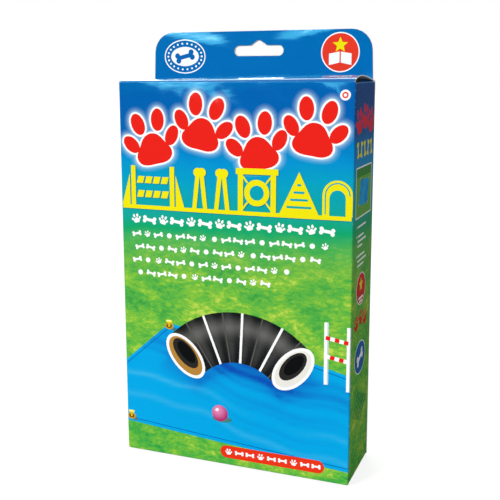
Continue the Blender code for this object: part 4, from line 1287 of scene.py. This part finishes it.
cover_inks = [("#0A63B2", box(-cover_half, 150, cover_half, guide_high[2])),
              ("#2E9E4A", box(-cover_half, guide_low[2], cover_half, 60)),
              (YELLOW, box(-cover_half, 146.5, cover_half, 150))]
for x, y, size, turn in ((-16, 176, 8.5, 14), (16, 184, 7.0, -12)):
    for ink, grow in ((WHITE, 0.9), (RED, 0.0)):
        cover_inks += print_in(ink, paw(cover_middle + x, y, size, turn, grow, 26))
cover_inks += framed_mat(cover_middle, 104.0, 80.0, 62.0, 3)
for i in range(7):
    cover_inks += print_in(WHITE, bone(cover_middle - 36 + 12 * i, 40, 8.0, 10 * (-1) ** i, 14))
cover_inks += print_in(WHITE, bone(-cover_middle, 176, 30, 12, 20))
for i in range(6):
    cover_inks += bulleted(-cover_middle - 30, 132 - 11 * i, (58, 50))
staple_holes = [ellipse(0.0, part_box(f"guide_staple_{which}")[end].z / MM + inward, STAPLE_HOLE, count=10)
                for which in ("upper", "lower") for end, inward in ((0, 0.25), (1, -0.25))]

# The cover's card is coated and printed without a varnish, the pages are plain offset paper.
coated_card, tree, shader = new_material("coated_card_print")
place = node(tree, "ShaderNodeTexCoord", out="Object")
feed(tree, shader, {"Base Color": printed_over(tree, place, linear("#F1EEE6"), 1.04), "Roughness": 0.32})
white_paper = mottled("offset_paper", ("#E9E6DC", "#F8F6F0"), {"Scale": 320.0, "Detail": 5.0},
                      (0.2, 0.00005, None), Roughness=0.8)

spine_lines = [[(float(spine_half * k / 5), float(v)) for v in np.linspace(guide_low[2], guide_high[2], 30)]
               for k in range(-5, 6)]
cover = board_piece(
    "guide_cover_card", box(-cover_half, guide_low[2], cover_half, guide_high[2]), cover_place, cover_inks,
    staple_holes, spine_lines, materials=(coated_card, white_paper), thick=COVER_THICK)
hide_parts("guide_cover")
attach(cover, "carton")

page_low, page_high = (np.array(corner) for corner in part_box("guide_pages"))
SHEETS, PAGE_THICK = 4, 0.00009
leaf_pitch = (page_high[1] - page_low[1] - PAGE_THICK) / (2 * SHEETS - 1)
page_middle = (page_low + page_high) / 2
centre = page_low[0] + (SHEETS - 0.5) * leaf_pitch + PAGE_THICK / 2
folds = []
for sheet in range(SHEETS):
    turn = (sheet + 0.5) * leaf_pitch
    fold = [(x, -turn) for x in np.linspace(page_high[0], centre, 12)[:-1]]
    fold += [(centre - turn * math.sin(a), -turn * math.cos(a)) for a in np.linspace(0, math.pi, 9)]
    fold += [(x, turn) for x in np.linspace(centre, page_high[0], 12)[1:]]
    folds.append([(x, page_middle[1] + y, page_middle[2]) for x, y in fold])
page_edge = [(0.0, z, 0.0) for z in np.linspace(page_low[2], page_high[2], 16) - page_middle[2]]
tree, given = geometry_tree("page_tree", {"Path": "Object", "Profile": "Object"})
close_tree(tree, given, swept(tree, given))
pages = grown("guide_page_sheets", tree, {
    "Path": drawn_curve("page_folds", folds), "Profile": drawn_curve("page_edge", [page_edge]),
    "Material": white_paper}, thickness=PAGE_THICK)
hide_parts("guide_pages")
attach(pages, "carton")

# Staples: galvanised steel wire, half a millimetre thick, clinched inside the booklet. The zinc gives
# it a dull, slightly mottled shine.
wire = mottled("galvanised_steel_wire", ("#9FA3A8", "#CDD0D3"), {"Scale": 900.0, "Detail": 3.0},
               gloss=(0.25, 0.45), Metallic=1.0)
for which in ("upper", "lower"):
    for slot in bpy.data.objects[f"guide_staple_{which}"].material_slots:
        slot.material = wire

# Camera, as fitted to the carton's corners and its hang slot in the photograph: half a metre off, to
# the right of the front and level with the lid. The photograph's framing needs a small shift.
camera_data = bpy.data.cameras.new("camera")
camera = in_scene("camera", camera_data)
camera_data.lens = 61.859
camera_data.shift_x, camera_data.shift_y = 0.0369, -0.0581
camera_data.sensor_width = 36.0
camera_data.clip_start = 0.01
forward = Vector((-0.36735, 0.91373, -0.17365)).normalized()
right = Vector((0.92815, 0.37218, -0.00507)).normalized()
turn = Matrix((right, right.cross(forward), -forward)).transposed().to_4x4()
camera.matrix_world = Matrix.Translation((0.18311, -0.47899, 0.23833)) @ turn
bpy.context.scene.camera = camera

# Studio: white to the camera, a dim fill for matt faces, and for reflections a pale ceiling and rear
# with a dark flag on the right and one softbox at the upper left, whose light is slightly cool. The
# softbox's edges are an axis, where it starts and is full, and how bright it is inside.
SOFTBOX = 12.0
SOFTBOX_EDGES = (("Z", 0.10, 0.16, 1.0), ("Z", 0.36, 0.30, 1.0), ("X", -0.66, -0.60, 1.0),
                 ("X", -0.14, -0.20, 1.0), ("Y", -0.3, -0.4, SOFTBOX))
FILL = 0.42
world = bpy.data.worlds.new("studio")
bpy.context.scene.world = world
world.use_nodes = True
tree = world.node_tree
tree.nodes.clear()
rays = node(tree, "ShaderNodeLightPath", out=None).outputs
away = node(tree, "ShaderNodeSeparateXYZ", [node(tree, "ShaderNodeTexCoord", out="Generated")], None).outputs
ceiling = node(tree, RANGE, (away["Z"], 0.10, 0.35, 0.06, 1.0))
behind = node(tree, RANGE, (away["Y"], -0.2, 0.2))
pale = node(tree, MATH, (ceiling, behind), operation="MAXIMUM")
flag = node(tree, RANGE, (away["X"], -0.10, 0.10, 1.0, 0.06))
pale = node(tree, MATH, (pale, flag), operation="MULTIPLY")
softbox = None
for axis, edge, full, inside in SOFTBOX_EDGES:
    bound = node(tree, RANGE, (away[axis], edge, full, 0.0, inside))
    softbox = node(tree, MATH, (softbox, bound), operation="MULTIPLY") if softbox else bound
pale = node(tree, MATH, (pale, softbox), operation="ADD")
pale = node(tree, MATH, (rays["Is Glossy Ray"], pale), operation="MULTIPLY")
seen = node(tree, MATH, (rays["Is Camera Ray"], rays["Is Transmission Ray"]), operation="MAXIMUM")
pale = node(tree, MATH, (seen, pale), operation="MAXIMUM")
fill = node(tree, MATH, (rays["Is Diffuse Ray"], FILL), operation="MULTIPLY")
strength = node(tree, MATH, (pale, fill), operation="MAXIMUM")
cool = node(tree, MIX, {0: softbox, 6: (1, 1, 1, 1), 7: (0.35, 1.0, 0.95, 1)}, 2, data_type="RGBA")
back = node(tree, "ShaderNodeBackground", {"Color": cool, "Strength": strength})
node(tree, "ShaderNodeOutputWorld", {"Surface": back}, None)

for name, direction, energy, soft_angle in (
        ("key", (0.66, 1.0, -0.50), 2.9, 24), ("side_fill", (-1.0, 0.0, -0.2), 0.55, 40),
        ("back_fill", (0.45, -1.0, -0.5), 1.5, 30)):
    lamp_data = bpy.data.lights.new(name, "SUN")
    lamp_data.angle, lamp_data.energy = math.radians(soft_angle), energy
    in_scene(name, lamp_data).rotation_euler = Vector(direction).to_track_quat("-Z", "Y").to_euler()

# The floor lies a board's thickness low, so that the opened bottom lid rests on it and not in it. It
# is pale to the camera, and dark to most reflections, so that it lends the gloss no false light.
FLOOR_LEVEL, FLOOR_HALF = -0.0007, 8
floor_mesh = bpy.data.meshes.new("floor")
corners = [(x * FLOOR_HALF, y * FLOOR_HALF, FLOOR_LEVEL) for x, y in ((-1, -1), (1, -1), (1, 1), (-1, 1))]
floor_mesh.from_pydata(corners, [], [(0, 1, 2, 3)])
floor = in_scene("floor", floor_mesh)
floor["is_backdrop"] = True
paper, tree, _ = new_material("pale_floor")
tree.nodes.clear()
rays = node(tree, "ShaderNodeLightPath", out=None).outputs
spot = node(tree, "ShaderNodeSeparateXYZ", [node(tree, "ShaderNodeTexCoord", out="Object")], None).outputs
behind = node(tree, RANGE, (spot["Y"], 0.10, 0.40))
left = node(tree, RANGE, (spot["X"], 0.05, -0.10))
behind = node(tree, MATH, (behind, left), operation="MULTIPLY")
mirrored = node(tree, MATH, (rays["Is Glossy Ray"], rays["Is Transmission Ray"]), operation="MAXIMUM")
mirrored = node(tree, MATH, (mirrored, behind), operation="MULTIPLY")
seen = node(tree, MATH, (rays["Is Camera Ray"], mirrored), operation="MAXIMUM")
strength = node(tree, MATH, (seen, 0.82), operation="MULTIPLY")
shade = node(tree, MIX, {
    0: rays["Is Glossy Ray"], 6: (0.30, 0.30, 0.30, 1), 7: (0.06, 0.06, 0.06, 1)}, 2, data_type="RGBA")
lit = node(tree, "ShaderNodeBsdfDiffuse", {"Color": shade})
glow = node(tree, "ShaderNodeEmission", {"Strength": strength})
both = node(tree, "ShaderNodeAddShader", (lit, glow))
node(tree, "ShaderNodeOutputMaterial", {"Surface": both}, None)
floor_mesh.materials.append(paper)

bpy.context.scene.view_settings.view_transform = "Standard"

size = {"cad_box": cad_box, "visual_box": [list(corner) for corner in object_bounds()]}
